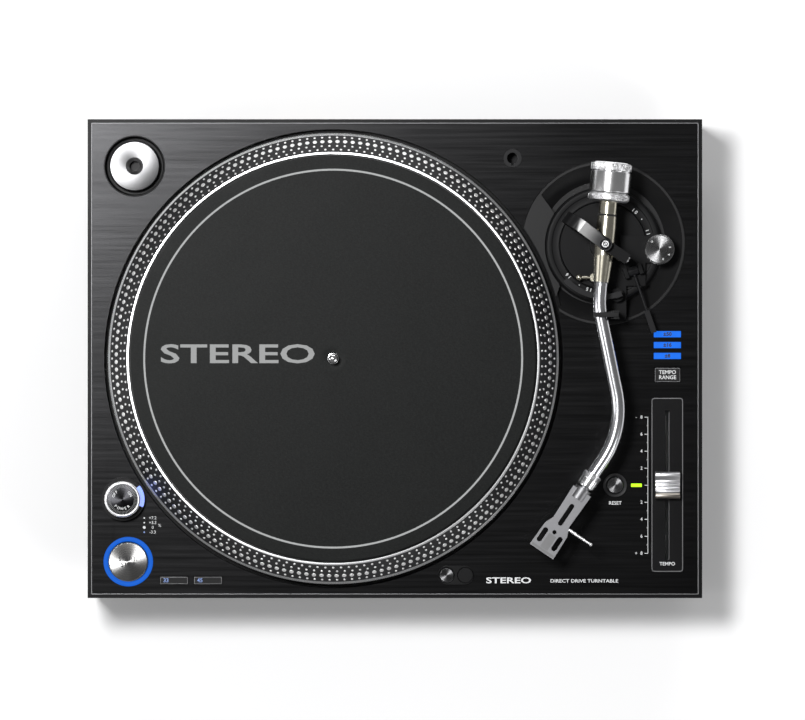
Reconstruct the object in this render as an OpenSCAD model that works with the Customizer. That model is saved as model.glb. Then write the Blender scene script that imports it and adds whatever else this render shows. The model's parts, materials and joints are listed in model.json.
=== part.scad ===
// Direct-drive turntable with an S-shaped tonearm. Millimetres, +Z up, +X right, +Y to the rear.
// The origin is the centre of the outline, on the surface that the feet stand on.

/* [Plinth] */
// Width of the plinth
body_w = 453; // [451:1:548]
// Depth of the plinth
body_d = 353; // [351:1:428]
// Height of the rubber base's underside above the surface
base_z = 22; // [20:1:28]
// Thickness of the heavy rubber base
base_t = 30; // [26:1:40]
// Thickness of the resin deck
deck_t = 8; // [6:1:12]
// Height of the cast chassis
chassis_h = 35.5; // [34:0.5:46]
// Thickness of the chassis walls
chassis_wall = 4; // [3:0.5:5]
// Thickness of the chassis top
chassis_top_t = 6; // [5:0.5:8]
// Thickness of the top panel
panel_t = 1.5; // [1:0.1:2]
// Width of the chassis lip around the top panel
panel_inset = 3; // [2:0.5:6]

/* [Platter] */
// Distance of the spindle to the left of the middle
spindle_left = 45.3; // [44:0.1:50]
// Radius of the platter
platter_r = 166; // [150:0.5:167]
// Gap between the platter and its well
well_gap = 3; // [2.5:0.5:3]
// Width of the sloping strobe rim, seen from above
rim_w = 13; // [11:0.5:15]
// Height of the platter's flat top above the panel
platter_rise = 16; // [14:0.5:20]
// Thickness of the slipmat
mat_t = 3; // [1.5:0.5:4]
// Radius of the spindle
spindle_r = 3.6; // [3.4:0.05:3.6]
// Height of the spindle above the slipmat
spindle_rise = 13; // [10:0.5:16]
// Radial clearance of a running shaft
run_gap = 0.05; // [0.03:0.01:0.1]
// Number of motor coils
coil_count = 9; // [6:3:12]

/* [Single adapter] */
// Distance of the adapter from the left edge
adapter_in = 34.6; // [32:0.1:36]
// Distance of the adapter from the rear edge
adapter_back = 34.6; // [32:0.1:38]
// Radius of the adapter disc
adapter_r = 18.75; // [17:0.25:19]
// Thickness of the adapter disc
adapter_t = 9; // [6:0.5:10]
// Gap around the adapter in its well
adapter_gap = 2.9; // [1:0.1:3]

/* [Controls] */
// Radius of the power knob
knob_r = 13.2; // [11:0.1:13.6]
// Height of the power knob
knob_h = 11; // [8:0.5:14]
// Radius of the strobe lamp housing
strobe_r = 15.8; // [15:0.1:16.4]
// Radius of the start button
start_r = 14.6; // [12:0.1:15]
// Width of the lit ring around the start button
start_ring_w = 3.6; // [2:0.1:4]
// Width of a speed button
speed_w = 20.2; // [14:0.1:21]
// Depth of a speed button
speed_d = 5.2; // [4:0.1:7]
// Width of the tempo-range button
range_w = 18.6; // [14:0.1:19]
// Depth of the tempo-range button
range_d = 10.2; // [6:0.1:12]
// Width of a tempo-range light
light_w = 19.9; // [14:0.1:20]
// Depth of a tempo-range light
light_d = 4.6; // [3:0.1:5.4]
// Width of the zero light
zero_w = 7.8; // [4:0.1:8.4]
// Depth of the zero light
zero_d = 2.4; // [1.6:0.1:4]
// Radius of the reset button
reset_r = 5.9; // [4.5:0.1:6.4]
// Travel of every push button
press = 1.5; // [1:0.1:2]
// Gap around every push button
button_gap = 0.35; // [0.3:0.05:0.5]
// Travel of the pop-up stylus lamp
lamp_lift = 25; // [15:1:28]
// Radius of the stylus light's button
lamp_button_r = 5.4; // [4.5:0.1:5.6]
// Radius of the pop-up stylus lamp
stylus_lamp_r = 5.5; // [4.5:0.1:5.6]
// Travel of the tempo knob, end to end
tempo_travel = 100; // [80:1:104]
// Width of the tempo knob
tempo_w = 18.1; // [14:0.1:20]
// Depth of the tempo knob
tempo_d = 20.3; // [14:0.1:22]

/* [Tonearm] */
// Distance from the spindle to the arm's pivot
pivot_dist = 215.5; // [214:0.5:217]
// Distance of the pivot behind the spindle
pivot_back = 83.5; // [82:0.5:86]
// Height of the arm tube's centre above the panel
arm_rise = 36; // [36:0.5:38]
// Radius of the arm dish
dish_r = 60.5; // [60:0.1:62]
// Outer radius of the height ring
ring_r = 42.5; // [42:0.1:43]
// Inner radius of the height ring
ring_in_r = 32; // [31.6:0.1:33]
// Travel of the arm height adjustment
arm_travel = 6; // [4:0.5:6]
// Radius of the arm tube
tube_r = 4.9; // [4:0.1:5]
// Heading of the pivot housing, in degrees left of straight ahead
housing_turn = 5.2; // [4:0.1:6]
// Radius of the pivot housing
housing_r = 7.25; // [6.5:0.05:7.4]
// Length of the tube before its first bend
tube_start = 8.5; // [6:0.5:10]
// Radius of the first bend
bend1_r = 62; // [50:1:80]
// Angle of the first bend
bend1 = 16.7; // [14:0.1:18]
// Length of the tube between its bends
tube_middle = 55; // [50:0.5:58]
// Radius of the second bend
bend2_r = 66; // [56:1:76]
// Angle of the second bend
bend2 = 45.5; // [42:0.5:47]
// Length of the tube past its second bend
tube_end = 12; // [8:0.5:14]
// Radius of the counterweight
weight_r = 15; // [13:0.1:16]
// Length of the counterweight
weight_l = 22; // [20:0.5:26]
// Length of the headshell
shell_l = 55.5; // [50:0.5:58]
// Width of the headshell's front
shell_w = 20.6; // [18:0.1:22]
// Spacing of the two cartridge slots
cartridge_pitch = 12.7; // [12.7:0.1:12.8]

/* [Feet] */
// Radius of a foot
foot_r = 28; // [20:0.5:32]
// Distance of a foot's centre from the side edges
foot_in_x = 45; // [36:1:60]
// Distance of a foot's centre from the front and rear edges
foot_in_y = 42; // [36:1:60]
// Radius of a foot's stud
stud_r = 4; // [3:0.5:5]

/* [Hidden] */
$fn = 96;

eps = 0.5;
free_gap = 0.4;
base_top = base_z + base_t;
deck_top = base_top + deck_t;
chassis_top = deck_top + chassis_h;
panel_z = chassis_top + panel_t;
hollow_top = chassis_top - chassis_top_t;
button_low = panel_z - 4.5 - press;

// Places of the controls, each tied to the nearest edges of the plinth
left = -body_w / 2;
right = body_w / 2;
front = -body_d / 2;
rear = body_d / 2;
spindle_at = [-spindle_left, 0];
adapter_at = [left + adapter_in, rear - adapter_back];
knob_at = [left + 26.4, front + 73.1];
start_at = [left + 30, front + 26.9];
speed_at = [[left + 63.8, front + 13.1], [left + 88.8, front + 13.1]];
lamp_at = [spindle_at[0] + 90.3, front + 17];
lamp_offset = 6.9;
lamp_button_at = [lamp_at[0] - lamp_offset, lamp_at[1]];
stylus_lamp_at = [lamp_at[0] + lamp_offset, lamp_at[1]];
stylus_lamp_low = chassis_top + panel_t - lamp_lift - 3.5;
tempo_at = [right - 25.8, front + 83.2];
range_at = [right - 25.7, tempo_at[1] + 81.3];
light_pitch = 8;
lights_y = range_at[1] + 14;
zero_at = [tempo_at[0] - 22.7, tempo_at[1]];
reset_at = [tempo_at[0] - 38.4, tempo_at[1]];
pivot_at = [spindle_at[0] + sqrt(pivot_dist * pivot_dist - pivot_back * pivot_back), pivot_back];
dish_at = [pivot_at[0] + 0.4, pivot_at[1] + 1.6];
stand_at = [pivot_at[0] - 66.6, pivot_at[1] + 64.2];

// Heights and radii of the drive
well_r = platter_r + well_gap;
well_wall = 3;
well_floor = hollow_top - 5.5;
well_floor_t = 4;
platter_top = panel_z + platter_rise;
platter_under = platter_top - 4.5;
hub_bottom = platter_top - 9;
mat_r = platter_r - rim_w - 4;
mat_top = platter_top + mat_t;
bearing_r = 16;
shaft_low_r = spindle_r + 0.4;
rotor_r = 60;

// Heights and angles of the arm
tube_z = panel_z + arm_rise;
dish_top = panel_z + 1.2;
dish_floor = panel_z - 10.5;
ring_top = panel_z + 4;
base_disc_z = panel_z - 1;
base_disc_top = panel_z + 2.5;
bracket_z = ring_top + 1.2;
bracket_top = bracket_z + 2.8;
pitch_turn = -34;
bridge_turn = 143;
gimbal_half = 20;
gimbal_inner = 16;
gimbal_low = tube_z - 12;
gimbal_high = tube_z + 13;
bridge_low = gimbal_high + 1.3;
bridge_top = bridge_low + 5.2;
housing_rear = 20.8;
housing_front = 27.5;
decoupler_l = 1.5;
bend_extra = 0.04;
shaft_r = housing_r - 0.65;
weight_start = 38.2;
shaft_end = weight_start + weight_l - 2.7 - 4.6;
scale_start = 31.5;
collar_l = 11.5;
shell_start = collar_l + 1.5;
shell_front = shell_start + shell_l;
lift_r = 1.3;
pin_r = 4;
rest_back = -51.4;
platform_r = 38;
rest_x = 6;
cue_at = [21.7, -19];
cue_turn = 18.7;
cue_z = bracket_top + 4;
dial_at = [40.9, -3.2];
lock_at = [-7, -23.8];

// ---- shared shapes ----

module block(x0, x1, y0, y1, z0, z1) {
    translate([x0, y0, z0]) cube([x1 - x0, y1 - y0, z1 - z0]);
}

module pillar(at, r, z0, z1) {
    translate([at[0], at[1], z0]) cylinder(r = r, h = z1 - z0);
}

module tube(at, r_out, r_in, z0, z1) {
    difference() {
        pillar(at, r_out, z0, z1);
        pillar(at, r_in, z0 - eps, z1 + eps);
    }
}

module centred_block(at, w, d, z0, z1) {
    block(at[0] - w / 2, at[0] + w / 2, at[1] - d / 2, at[1] + d / 2, z0, z1);
}

// A bar with round ends, lying along X
module stadium(at, length, width, z0, z1) {
    reach = (length - width) / 2;
    centred_block(at, 2 * reach, width, z0, z1);
    for (side = [-1, 1]) pillar([at[0] + side * reach, at[1]], width / 2, z0, z1);
}

// A rod from here towards local -Y
module rod(r, length) {
    rotate([90, 0, 0]) cylinder(r = r, h = length);
}

module at_pivot() {
    translate([pivot_at[0], pivot_at[1], 0]) children();
}

// The arm's own frame: its origin on the pivot, its nose towards local -Y
module on_arm() {
    translate([pivot_at[0], pivot_at[1], tube_z]) rotate([0, 0, -housing_turn]) children();
}

module past_left_bend(r, angle) {
    translate([r, 0, 0]) rotate([0, 0, angle]) translate([-r, 0, 0]) children();
}

module past_right_bend(r, angle) {
    translate([-r, 0, 0]) rotate([0, 0, -angle]) translate([r, 0, 0]) children();
}

// The frame at the nose end of the S-shaped tube
module at_nose() {
    on_arm() translate([0, -housing_front - tube_start, 0])
        past_left_bend(bend1_r, bend1) translate([0, -tube_middle, 0])
        past_right_bend(bend2_r, bend2) translate([0, -tube_end, 0]) children();
}

// ---- plinth ----

// Everything that passes down through the chassis top
module control_cuts(z0, z1, extra) {
    pillar(adapter_at, adapter_r + adapter_gap + 0.95 + extra, z0, z1);
    pillar(stand_at, 6.9 + extra, z0, z1);
    pillar(start_at, start_r + start_ring_w + 0.1 + extra, z0, z1);
    pillar(knob_at, 6 + extra, z0, z1);
    for (at = speed_at) {
        centred_block(at, speed_w + 2 * button_gap + extra, speed_d + 2 * button_gap + extra, z0, z1);
    }
    pillar(reset_at, reset_r + button_gap + extra, z0, z1);
    centred_block(range_at, range_w + 2 * button_gap + extra, range_d + 2 * button_gap + extra, z0, z1);
    for (i = [0:2]) {
        at = [range_at[0], lights_y + i * light_pitch];
        centred_block(at, light_w + 0.2 + extra, light_d + 0.2 + extra, z0, z1);
    }
    centred_block(zero_at, zero_w + 0.2 + extra, zero_d + 0.2 + extra, z0, z1);
    pillar(lamp_button_at, lamp_button_r + button_gap + extra, z0, z1);
    pillar(stylus_lamp_at, stylus_lamp_r + button_gap + extra, z0, z1);
    centred_block(tempo_at, 3 + extra, tempo_travel + 12, z0, z1);
}

module top_chassis() {
    color("dimgray") difference() {
        union() {
            difference() {
                block(left, right, front, rear, deck_top, chassis_top);
                block(left + chassis_wall, right - chassis_wall, front + chassis_wall,
                    rear - chassis_wall, deck_top - eps, hollow_top);
            }
            pillar(spindle_at, well_r + well_wall, well_floor - well_floor_t, chassis_top);
            pillar(lamp_at, lamp_offset + stylus_lamp_r + 2.1, stylus_lamp_low - 1, hollow_top + eps);
        }
        pillar(spindle_at, well_r, well_floor, chassis_top + eps);
        pillar(spindle_at, bearing_r + 0.1, deck_top, well_floor + eps);
        difference() {
            pillar(dish_at, dish_r - 2.3, deck_top, chassis_top + eps);
            pillar(spindle_at, well_r + well_wall, deck_top, chassis_top + 2 * eps);
        }
        control_cuts(deck_top, chassis_top + eps, 0.4);
        centred_block(tempo_at, 15, tempo_travel + 22, deck_top, hollow_top + 2);
    }
}

module top_panel() {
    inset = panel_inset;
    color("black") difference() {
        block(left + inset, right - inset, front + inset, rear - inset, chassis_top, panel_z);
        pillar(spindle_at, well_r, chassis_top - eps, panel_z + eps);
        difference() {
            pillar(dish_at, dish_r - 2.2, chassis_top - eps, panel_z + eps);
            pillar(spindle_at, well_r + well_wall, chassis_top - 2 * eps, panel_z + 2 * eps);
        }
        control_cuts(chassis_top - eps, panel_z + eps, 0);
    }
}

module resin_deck() {
    color("dimgray") difference() {
        block(left + 0.5, right - 0.5, front + 0.5, rear - 0.5, base_top, deck_top);
        pillar(spindle_at, 40, base_top + 3, deck_top + eps);
    }
}

function foot_places() = [
    [left + foot_in_x, front + foot_in_y], [right - foot_in_x, front + foot_in_y],
    [left + foot_in_x, rear - foot_in_y], [right - foot_in_x, rear - foot_in_y]
];

module rubber_base() {
    color("darkslategray") difference() {
        block(left, right, front, rear, base_z, base_top);
        for (at = foot_places()) pillar(at, stud_r + run_gap, base_z - eps, base_z + 26);
        // recess for the plugs, open to the rear and below
        block(left + 90, left + 190, rear - 30, rear + eps, base_z - eps, base_top - 4);
    }
}

module foot(index) {
    at = foot_places()[index];
    color("black") {
        pillar(at, foot_r - 2, 0, 6);
        translate([at[0], at[1], 6]) cylinder(r1 = foot_r, r2 = foot_r - 3, h = base_z - 8);
        pillar(at, stud_r, base_z - 2, base_z + 22);
    }
}

module foot_front_left() { foot(0); }
module foot_front_right() { foot(1); }
module foot_rear_left() { foot(2); }
module foot_rear_right() { foot(3); }

// ---- inside ----

module power_supply() {
    z = deck_top + 0.5;
    color("green") {
        block(left + 10, left + 70, rear - 170, rear - 110, z, z + 1.6);
        block(left + 16, left + 46, rear - 160, rear - 130, z + 1.6, z + 13);
        for (i = [0:2]) pillar([left + 55, rear - 160 + i * 16], 5, z + 1.6, z + 13);
    }
}

module main_board() {
    z = deck_top + 0.5;
    color("green") {
        block(right - 110, right - 12, front + 12, front + 42, z, z + 1.6);
        for (i = [0:2]) {
            block(right - 100 + i * 28, right - 84 + i * 28, front + 18, front + 34, z + 1.6, z + 4);
        }
    }
}

module bearing_housing() {
    low = deck_top + 1;
    color("goldenrod") difference() {
        union() {
            pillar(spindle_at, bearing_r, low, well_floor + eps);
            pillar(spindle_at, 24, well_floor, well_floor + 3);
            pillar(spindle_at, 8, well_floor + 2, hub_bottom - 4);
        }
        pillar(spindle_at, shaft_low_r + run_gap, low + 3, hub_bottom);
    }
}

module stator() {
    color("peru") {
        tube(spindle_at, 64, 24.4, well_floor, well_floor + 2);
        translate([spindle_at[0], spindle_at[1], 0]) for (i = [0:coil_count - 1]) {
            rotate([0, 0, i * 360 / coil_count]) tube([38, 0], 9, 3.5, well_floor + 2, well_floor + 14);
        }
    }
}

module rotor_magnet() {
    color("silver") {
        tube(spindle_at, rotor_r, 14.4, platter_under - 3.5, platter_under);
        tube(spindle_at, rotor_r, rotor_r - 8, well_floor + 9, platter_under - 3);
    }
}

module spindle() {
    low = deck_top + 4.5;
    top = mat_top + spindle_rise;
    color("gainsboro") {
        pillar(spindle_at, shaft_low_r, low, mat_top);
        pillar(spindle_at, spindle_r, mat_top, top - 3);
        translate([spindle_at[0], spindle_at[1], top - 3]) rotate_extrude()
            intersection() {
                circle(r = spindle_r);
                square([spindle_r, 3]);
            }
        pillar(spindle_at, 9, hub_bottom - 3, hub_bottom);
    }
}

module platter() {
    edge = platter_r - rim_w;
    slope_z = panel_z + 4;
    color("silver") translate([spindle_at[0], spindle_at[1], 0]) rotate_extrude()
        polygon([
            [shaft_low_r + run_gap, hub_bottom], [14, hub_bottom], [14, platter_under],
            [edge - 5, platter_under], [platter_r - 7.5, slope_z - 1], [platter_r - 4.5, well_floor + 3],
            [platter_r - 1.4, well_floor + 3], [platter_r, well_floor + 4.4], [platter_r, slope_z - 1.5],
            [platter_r - 1, slope_z], [edge - 1, platter_top + 0.4], [edge - 1.4, platter_top + 0.8],
            [mat_r + 0.9, platter_top + 0.8], [mat_r + 0.5, platter_top], [shaft_low_r + run_gap, platter_top]
        ]);
}

module platter_damper() {
    color("dimgray") tube(spindle_at, platter_r - rim_w - 6, rotor_r + 3, platter_under - 2.5, platter_under);
}

module slipmat() {
    color("dimgray") tube(spindle_at, mat_r, shaft_low_r + 0.2, platter_top, mat_top);
}

// ---- left side of the deck ----

module adapter_well() {
    wall_in = adapter_r + adapter_gap;
    color("black") {
        tube(adapter_at, wall_in + 0.9, wall_in, panel_z - 9, panel_z + 0.6);
        pillar(adapter_at, wall_in + 0.9, panel_z - 11.5, panel_z - 9);
    }
}

module single_adapter() {
    low = panel_z - 8.9;
    color("silver") difference() {
        union() {
            pillar(adapter_at, adapter_r, low, low + adapter_t - 1);
            translate([adapter_at[0], adapter_at[1], low + adapter_t - 1])
                cylinder(r1 = adapter_r, r2 = adapter_r - 1, h = 1);
        }
        pillar(adapter_at, spindle_r + 0.15, low - eps, low + adapter_t + eps);
    }
}

module strobe_housing() {
    color("black") difference() {
        union() {
            pillar(knob_at, strobe_r, panel_z, panel_z + 8);
            pillar(knob_at, 5.8, hollow_top - 10, panel_z + eps);
        }
        pillar(knob_at, 3 + run_gap, hollow_top - 8, panel_z + 9);
        intersection() {
            tube(knob_at, strobe_r + eps, strobe_r - 3.2, panel_z + 1.4, panel_z + 8 + eps);
            strobe_sector();
        }
    }
}

module strobe_sector() {
    translate([knob_at[0], knob_at[1], panel_z]) linear_extrude(9)
        polygon([[0, 0], [40, -17], [40, 34]]);
}

module strobe_window() {
    color("deepskyblue") intersection() {
        tube(knob_at, strobe_r, strobe_r - 3, panel_z + 1.6, panel_z + 7.8);
        translate([knob_at[0], knob_at[1], panel_z]) linear_extrude(9)
            polygon([[0.4, 0.1], [40, -16.4], [40, 33.2]]);
    }
}

module power_knob() {
    low = panel_z + 8.4;
    color("dimgray") {
        pillar(knob_at, knob_r, low, low + knob_h - 1.2);
        translate([knob_at[0], knob_at[1], low + knob_h - 1.2])
            cylinder(r1 = knob_r, r2 = knob_r - 1.2, h = 1.2);
        pillar(knob_at, 3, hollow_top - 7, low + eps);
    }
}

module start_ring() {
    color("deepskyblue")
        tube(start_at, start_r + start_ring_w, start_r + button_gap, hollow_top, panel_z + 1.2);
}

module start_button() {
    color("silver") {
        pillar(start_at, start_r, button_low, panel_z + 2);
        translate([start_at[0], start_at[1], panel_z + 2])
            cylinder(r1 = start_r, r2 = start_r - 0.6, h = 0.6);
    }
}

module speed_button(index) {
    color("black") centred_block(speed_at[index], speed_w, speed_d, button_low, panel_z + 1.8);
}

module button_33() { speed_button(0); }
module button_45() { speed_button(1); }

module headshell_stand() {
    color("black") difference() {
        pillar(stand_at, 6.8, hollow_top - 10, panel_z + 0.8);
        pillar(stand_at, pin_r + 0.1, hollow_top - 8, panel_z + 2);
        centred_block([stand_at[0], stand_at[1] - 4.4], 1.8, 2, panel_z - 6, panel_z + 2);
    }
}

// ---- stylus light ----

module lamp_housing() {
    color("black") difference() {
        stadium(lamp_at, 26.2, 14.1, panel_z, panel_z + 1.4);
        pillar(lamp_button_at, lamp_button_r + button_gap, panel_z - eps, panel_z + 2);
        pillar(stylus_lamp_at, stylus_lamp_r + button_gap, panel_z - eps, panel_z + 2);
    }
}

module lamp_button() {
    color("silver") pillar(lamp_button_at, lamp_button_r, button_low - 2, panel_z + 2.8);
}

module stylus_lamp() {
    at = stylus_lamp_at;
    color("dimgray") difference() {
        pillar(at, stylus_lamp_r, stylus_lamp_low, panel_z + 2.2);
        block(at[0] - 3.2, at[0] + 3.2, at[1] + 3, at[1] + 7, panel_z - 9, panel_z - 2);
    }
}

// ---- right side of the deck ----

module slider_bezel() {
    at = [tempo_at[0], tempo_at[1]];
    color("black") difference() {
        centred_block([at[0], at[1] + 0.3], 23.4, tempo_travel + 28.3, panel_z, panel_z + 1);
        centred_block(at, 2.8, tempo_travel + 9.6, panel_z - eps, panel_z + 2);
    }
}

module fader_unit() {
    low = hollow_top - 14;
    color("slategray") difference() {
        centred_block(tempo_at, 14, tempo_travel + 20, low, hollow_top + 1.5);
        centred_block(tempo_at, 8, tempo_travel + 12, low + 2, hollow_top - 2);
        centred_block(tempo_at, 2.8, tempo_travel + 9.6, low + 2, hollow_top + 2);
    }
}

module tempo_knob() {
    z = panel_z + 1.6;
    color("silver") {
        difference() {
            centred_block(tempo_at, tempo_w, tempo_d, z, z + 9);
            for (side = [-1, 1]) translate([tempo_at[0], tempo_at[1] + side * (tempo_d / 2 + 8), z + 12])
                rotate([0, 90, 0]) cylinder(r = 12, h = tempo_w + 2, center = true);
        }
        centred_block(tempo_at, 1.6, 6, hollow_top - 8, z + eps);
        centred_block(tempo_at, 7, 8, hollow_top - 10, hollow_top - 5);
    }
}

module range_button() {
    color("black") centred_block(range_at, range_w, range_d, button_low, panel_z + 2);
}

module range_lights() {
    color("dodgerblue") for (i = [0:2]) {
        centred_block([range_at[0], lights_y + i * light_pitch], light_w, light_d,
            panel_z - 4, panel_z + 0.5);
    }
}

module zero_light() {
    color("greenyellow") centred_block(zero_at, zero_w, zero_d, panel_z - 4, panel_z + 0.3);
}

module reset_button() {
    color("silver") pillar(reset_at, reset_r, button_low, panel_z + 1.6);
}

// ---- rear connectors ----

jack_pitch = 16;
jack_y = rear - 30;
jack_z = base_top - 15;
jack_r = 4.15;

module rear_jacks() {
    color("gold") {
        block(left + 140, left + 188, jack_y, jack_y + 2, base_z + 5, base_top - 6);
        for (i = [0:1]) translate([left + 150 + i * jack_pitch, jack_y + 1, jack_z]) rotate([-90, 0, 0]) {
            cylinder(r = 6, h = 3);
            cylinder(r = jack_r, h = 11);
        }
        translate([left + 181, jack_y + 1, jack_z]) rotate([-90, 0, 0]) {
            cylinder(r = 2, h = 10);
            cylinder(r = 4, h = 6);
        }
    }
}

module mains_inlet() {
    x = left + 112;
    z = base_top - 16;
    color("black") difference() {
        block(x - 15, x + 15, jack_y, jack_y + 19, z - 10.5, z + 11);
        block(x - 12, x + 12, jack_y + 2, jack_y + 20, z - 8, z + 8);
    }
    color("silver") for (i = [-1, 0, 1]) {
        block(x + i * 7 - 1, x + i * 7 + 1, jack_y + 1, jack_y + 14, z - 2 + 2 * abs(i) - 2, z + 2 * abs(i));
    }
}

// ---- tonearm base ----

module arm_dish() {
    body_r = dish_r - 2.7;
    color("dimgray") difference() {
        union() {
            translate([dish_at[0], dish_at[1], 0]) rotate_extrude() polygon([
                [20, dish_floor - 2.5], [body_r, dish_floor - 2.5], [body_r, panel_z], [dish_r, panel_z],
                [dish_r, panel_z + 0.4], [dish_r - 0.8, dish_top], [dish_r - 2.4, dish_top],
                [dish_r - 15, panel_z - 6], [20, panel_z - 6]
            ]);
            dish_land();
        }
        at_pivot() pillar([0, 0], ring_r + free_gap, dish_floor, dish_top + eps);
        at_pivot() pillar([0, 0], ring_in_r - 2, dish_floor - 5, dish_top + eps);
        pillar(spindle_at, well_r + well_wall + 0.3, dish_floor - 5, panel_z);
        pillar(spindle_at, well_r + 1.2, panel_z - eps, dish_top + eps);
    }
}

// The flat land between the platter and the height ring
module dish_land() {
    intersection() {
        pillar(dish_at, dish_r - 2.4, dish_floor - 1, dish_top);
        at_pivot() translate([0, 0, dish_floor - 1]) linear_extrude(30)
            polygon([[-70, 40], [-45.3, 36.7], [-36.2, 24.2], [-38, 0], [-32, -30], [-40, -55], [-70, -55]]);
        difference() {
            pillar(dish_at, dish_r, dish_floor - 1, dish_top);
            pillar(spindle_at, well_r + well_wall + 0.3, dish_floor - 2, panel_z);
        }
    }
}

module height_ring() {
    low = dish_floor + 0.2;
    color("black") at_pivot() rotate_extrude() polygon([
        [ring_in_r, low], [ring_r, low], [ring_r, ring_top - 1.6], [ring_r - 1.6, ring_top],
        [ring_in_r + 4, ring_top], [ring_in_r, ring_top - 1]
    ]);
}

// The slab that carries the cue, the rest and the anti-skate dial across the height ring
module arm_brackets() {
    block(12, 48, -13, 7, bracket_z, bracket_top);
    block(2, 17, -56, -24, bracket_z, bracket_top);
    block(-2, 31, -30, -12, bracket_z, bracket_top);
    block(-2, 14, -27, -12, base_disc_top - eps, bracket_z + eps);
    block(12, 27, -13, 7, base_disc_top - eps, bracket_z + eps);
}

module arm_base() {
    cue_post = [platform_r * cos(-75), platform_r * sin(-75)];
    color("dimgray") at_pivot() difference() {
        union() {
            pillar([0, 0], ring_in_r - free_gap, base_disc_z, base_disc_top);
            pillar([0, 0], ring_in_r - 2 - free_gap - 0.3, dish_floor - 6 - arm_travel, base_disc_z + eps);
            pillar([0, 0], 10, base_disc_top - eps, tube_z - 21);
            arm_brackets();
            pillar(dial_at, 9, bracket_z, bracket_top + 2);
            pillar(cue_post, 5, bracket_z, bracket_top + 8);
            translate([cue_at[0], cue_at[1], 0]) rotate([0, 0, cue_turn]) for (side = [-1, 1]) {
                block(side * 5.5 - 1.5, side * 5.5 + 1.5, -4, 4, bracket_z, cue_z + 3.5);
            }
            pillar(lock_at, 4, base_disc_top - eps, bracket_top);
        }
        pillar([0, 0], 5 + run_gap, dish_floor - 10, tube_z);
        pillar(dial_at, 2.5 + run_gap, bracket_z - eps, tube_z);
        pillar(cue_post, 2.5 + run_gap, bracket_z - eps, tube_z);
        pillar(lock_at, 1.5 + run_gap, base_disc_top, tube_z);
        translate([cue_at[0], cue_at[1], cue_z]) rotate([0, 0, cue_turn]) rotate([0, 90, 0])
            cylinder(r = 1.5 + run_gap, h = 20, center = true);
    }
}

module bearing_bridge() {
    reach = ring_in_r - 0.8;
    color("gray") at_pivot() difference() {
        union() {
            rotate([0, 0, bridge_turn]) translate([0, 4.5, 0]) rotate([90, 0, 0]) linear_extrude(9) polygon([
                [0, bridge_low], [20.8, bridge_low], [24.6, bridge_low - 4], [23.2, base_disc_top + 4],
                [23.2, base_disc_top], [reach, base_disc_top], [reach, bracket_z], [reach + 4, bracket_z],
                [reach + 4, bracket_z + 3], [25.5, bridge_top - 3.5], [21, bridge_top], [0, bridge_top]
            ]);
            pillar([0, 0], 4.9, bridge_low, bridge_top);
        }
        pillar([0, 0], 2.5, bridge_low - eps, bridge_top + eps);
    }
}

module top_pivot() {
    color("silver") at_pivot() difference() {
        union() {
            pillar([0, 0], 1.5, gimbal_high - 2, bridge_low + eps);
            pillar([0, 0], 2.5, bridge_low, bridge_top + 1.2);
            tube([0, 0], 3.5, 2.4, bridge_top, bridge_top + 1);
        }
        centred_block([0, 0], 6, 0.8, bridge_top + 0.6, bridge_top + 2);
    }
}

module gimbal() {
    color("dimgray") at_pivot() {
        difference() {
            union() {
                pillar([0, 0], 5, base_disc_z - 6, gimbal_low + eps);
                rotate([0, 0, pitch_turn]) difference() {
                    block(-gimbal_half, gimbal_half, -4, 4, gimbal_low, gimbal_high);
                    block(-gimbal_inner, gimbal_inner, -5, 5, gimbal_low + 2.5, gimbal_high - 3.5);
                }
            }
            pillar([0, 0], 1.5 + run_gap, gimbal_high - 2.5, gimbal_high + eps);
        }
        translate([0, 0, tube_z]) rotate([0, 0, pitch_turn]) for (side = [-1, 1]) {
            rotate([0, 90 * side, 0]) translate([0, 0, 11]) cylinder(r = 1.5, h = 10.8);
        }
    }
}

module antiskate_dial() {
    low = bracket_top + 2.3;
    color("silver") at_pivot() {
        pillar(dial_at, 11.1, low, low + 9);
        pillar(dial_at, 2.5, bracket_z + 0.3, low + eps);
    }
}

module height_lock() {
    z = bracket_top + 2.2;
    reach = 11;
    color("khaki") at_pivot() translate([lock_at[0], lock_at[1], 0]) {
        pillar([0, 0], 1.5, base_disc_top + 0.3, z);
        pillar([0, 0], 3, bracket_top + 0.3, z + 1.8);
        translate([0, 0, z]) rotate([0, 0, 180]) rotate([0, 90, 0]) rotate_extrude() {
            square([1.3, reach]);
            translate([0, reach]) intersection() {
                circle(r = 2.4);
                translate([0, -3]) square([3, 6]);
            }
        }
    }
}

module cue_lever() {
    color("gray") at_pivot() translate([cue_at[0], cue_at[1], cue_z]) rotate([0, 0, cue_turn]) {
        rotate([0, 90, 0]) cylinder(r = 3.2, h = 7.2, center = true);
        rotate([0, 90, 0]) cylinder(r = 1.5, h = 13.6, center = true);
        rotate([-2, 0, 0]) {
            rod(1, 34);
            translate([-2, -48, -1.2]) cube([4, 17, 2.4]);
        }
    }
}

module lift_platform() {
    low = tube_z - tube_r - 9;
    cue_post = [platform_r * cos(-75), platform_r * sin(-75)];
    color("black") at_pivot() {
        pillar(cue_post, 2.5, bracket_z + 0.5, low + eps);
        intersection() {
            tube([0, 0], platform_r + 2, platform_r - 2, low, low + 2);
            linear_extrude(low + 3) polygon([
                [0, 0], [70 * cos(-70), 70 * sin(-70)], [75 * cos(-100), 75 * sin(-100)],
                [70 * cos(-138), 70 * sin(-138)]
            ]);
        }
    }
}

clip_z = tube_r + 3.4;
clip_x = rest_x + 2.6;

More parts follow.
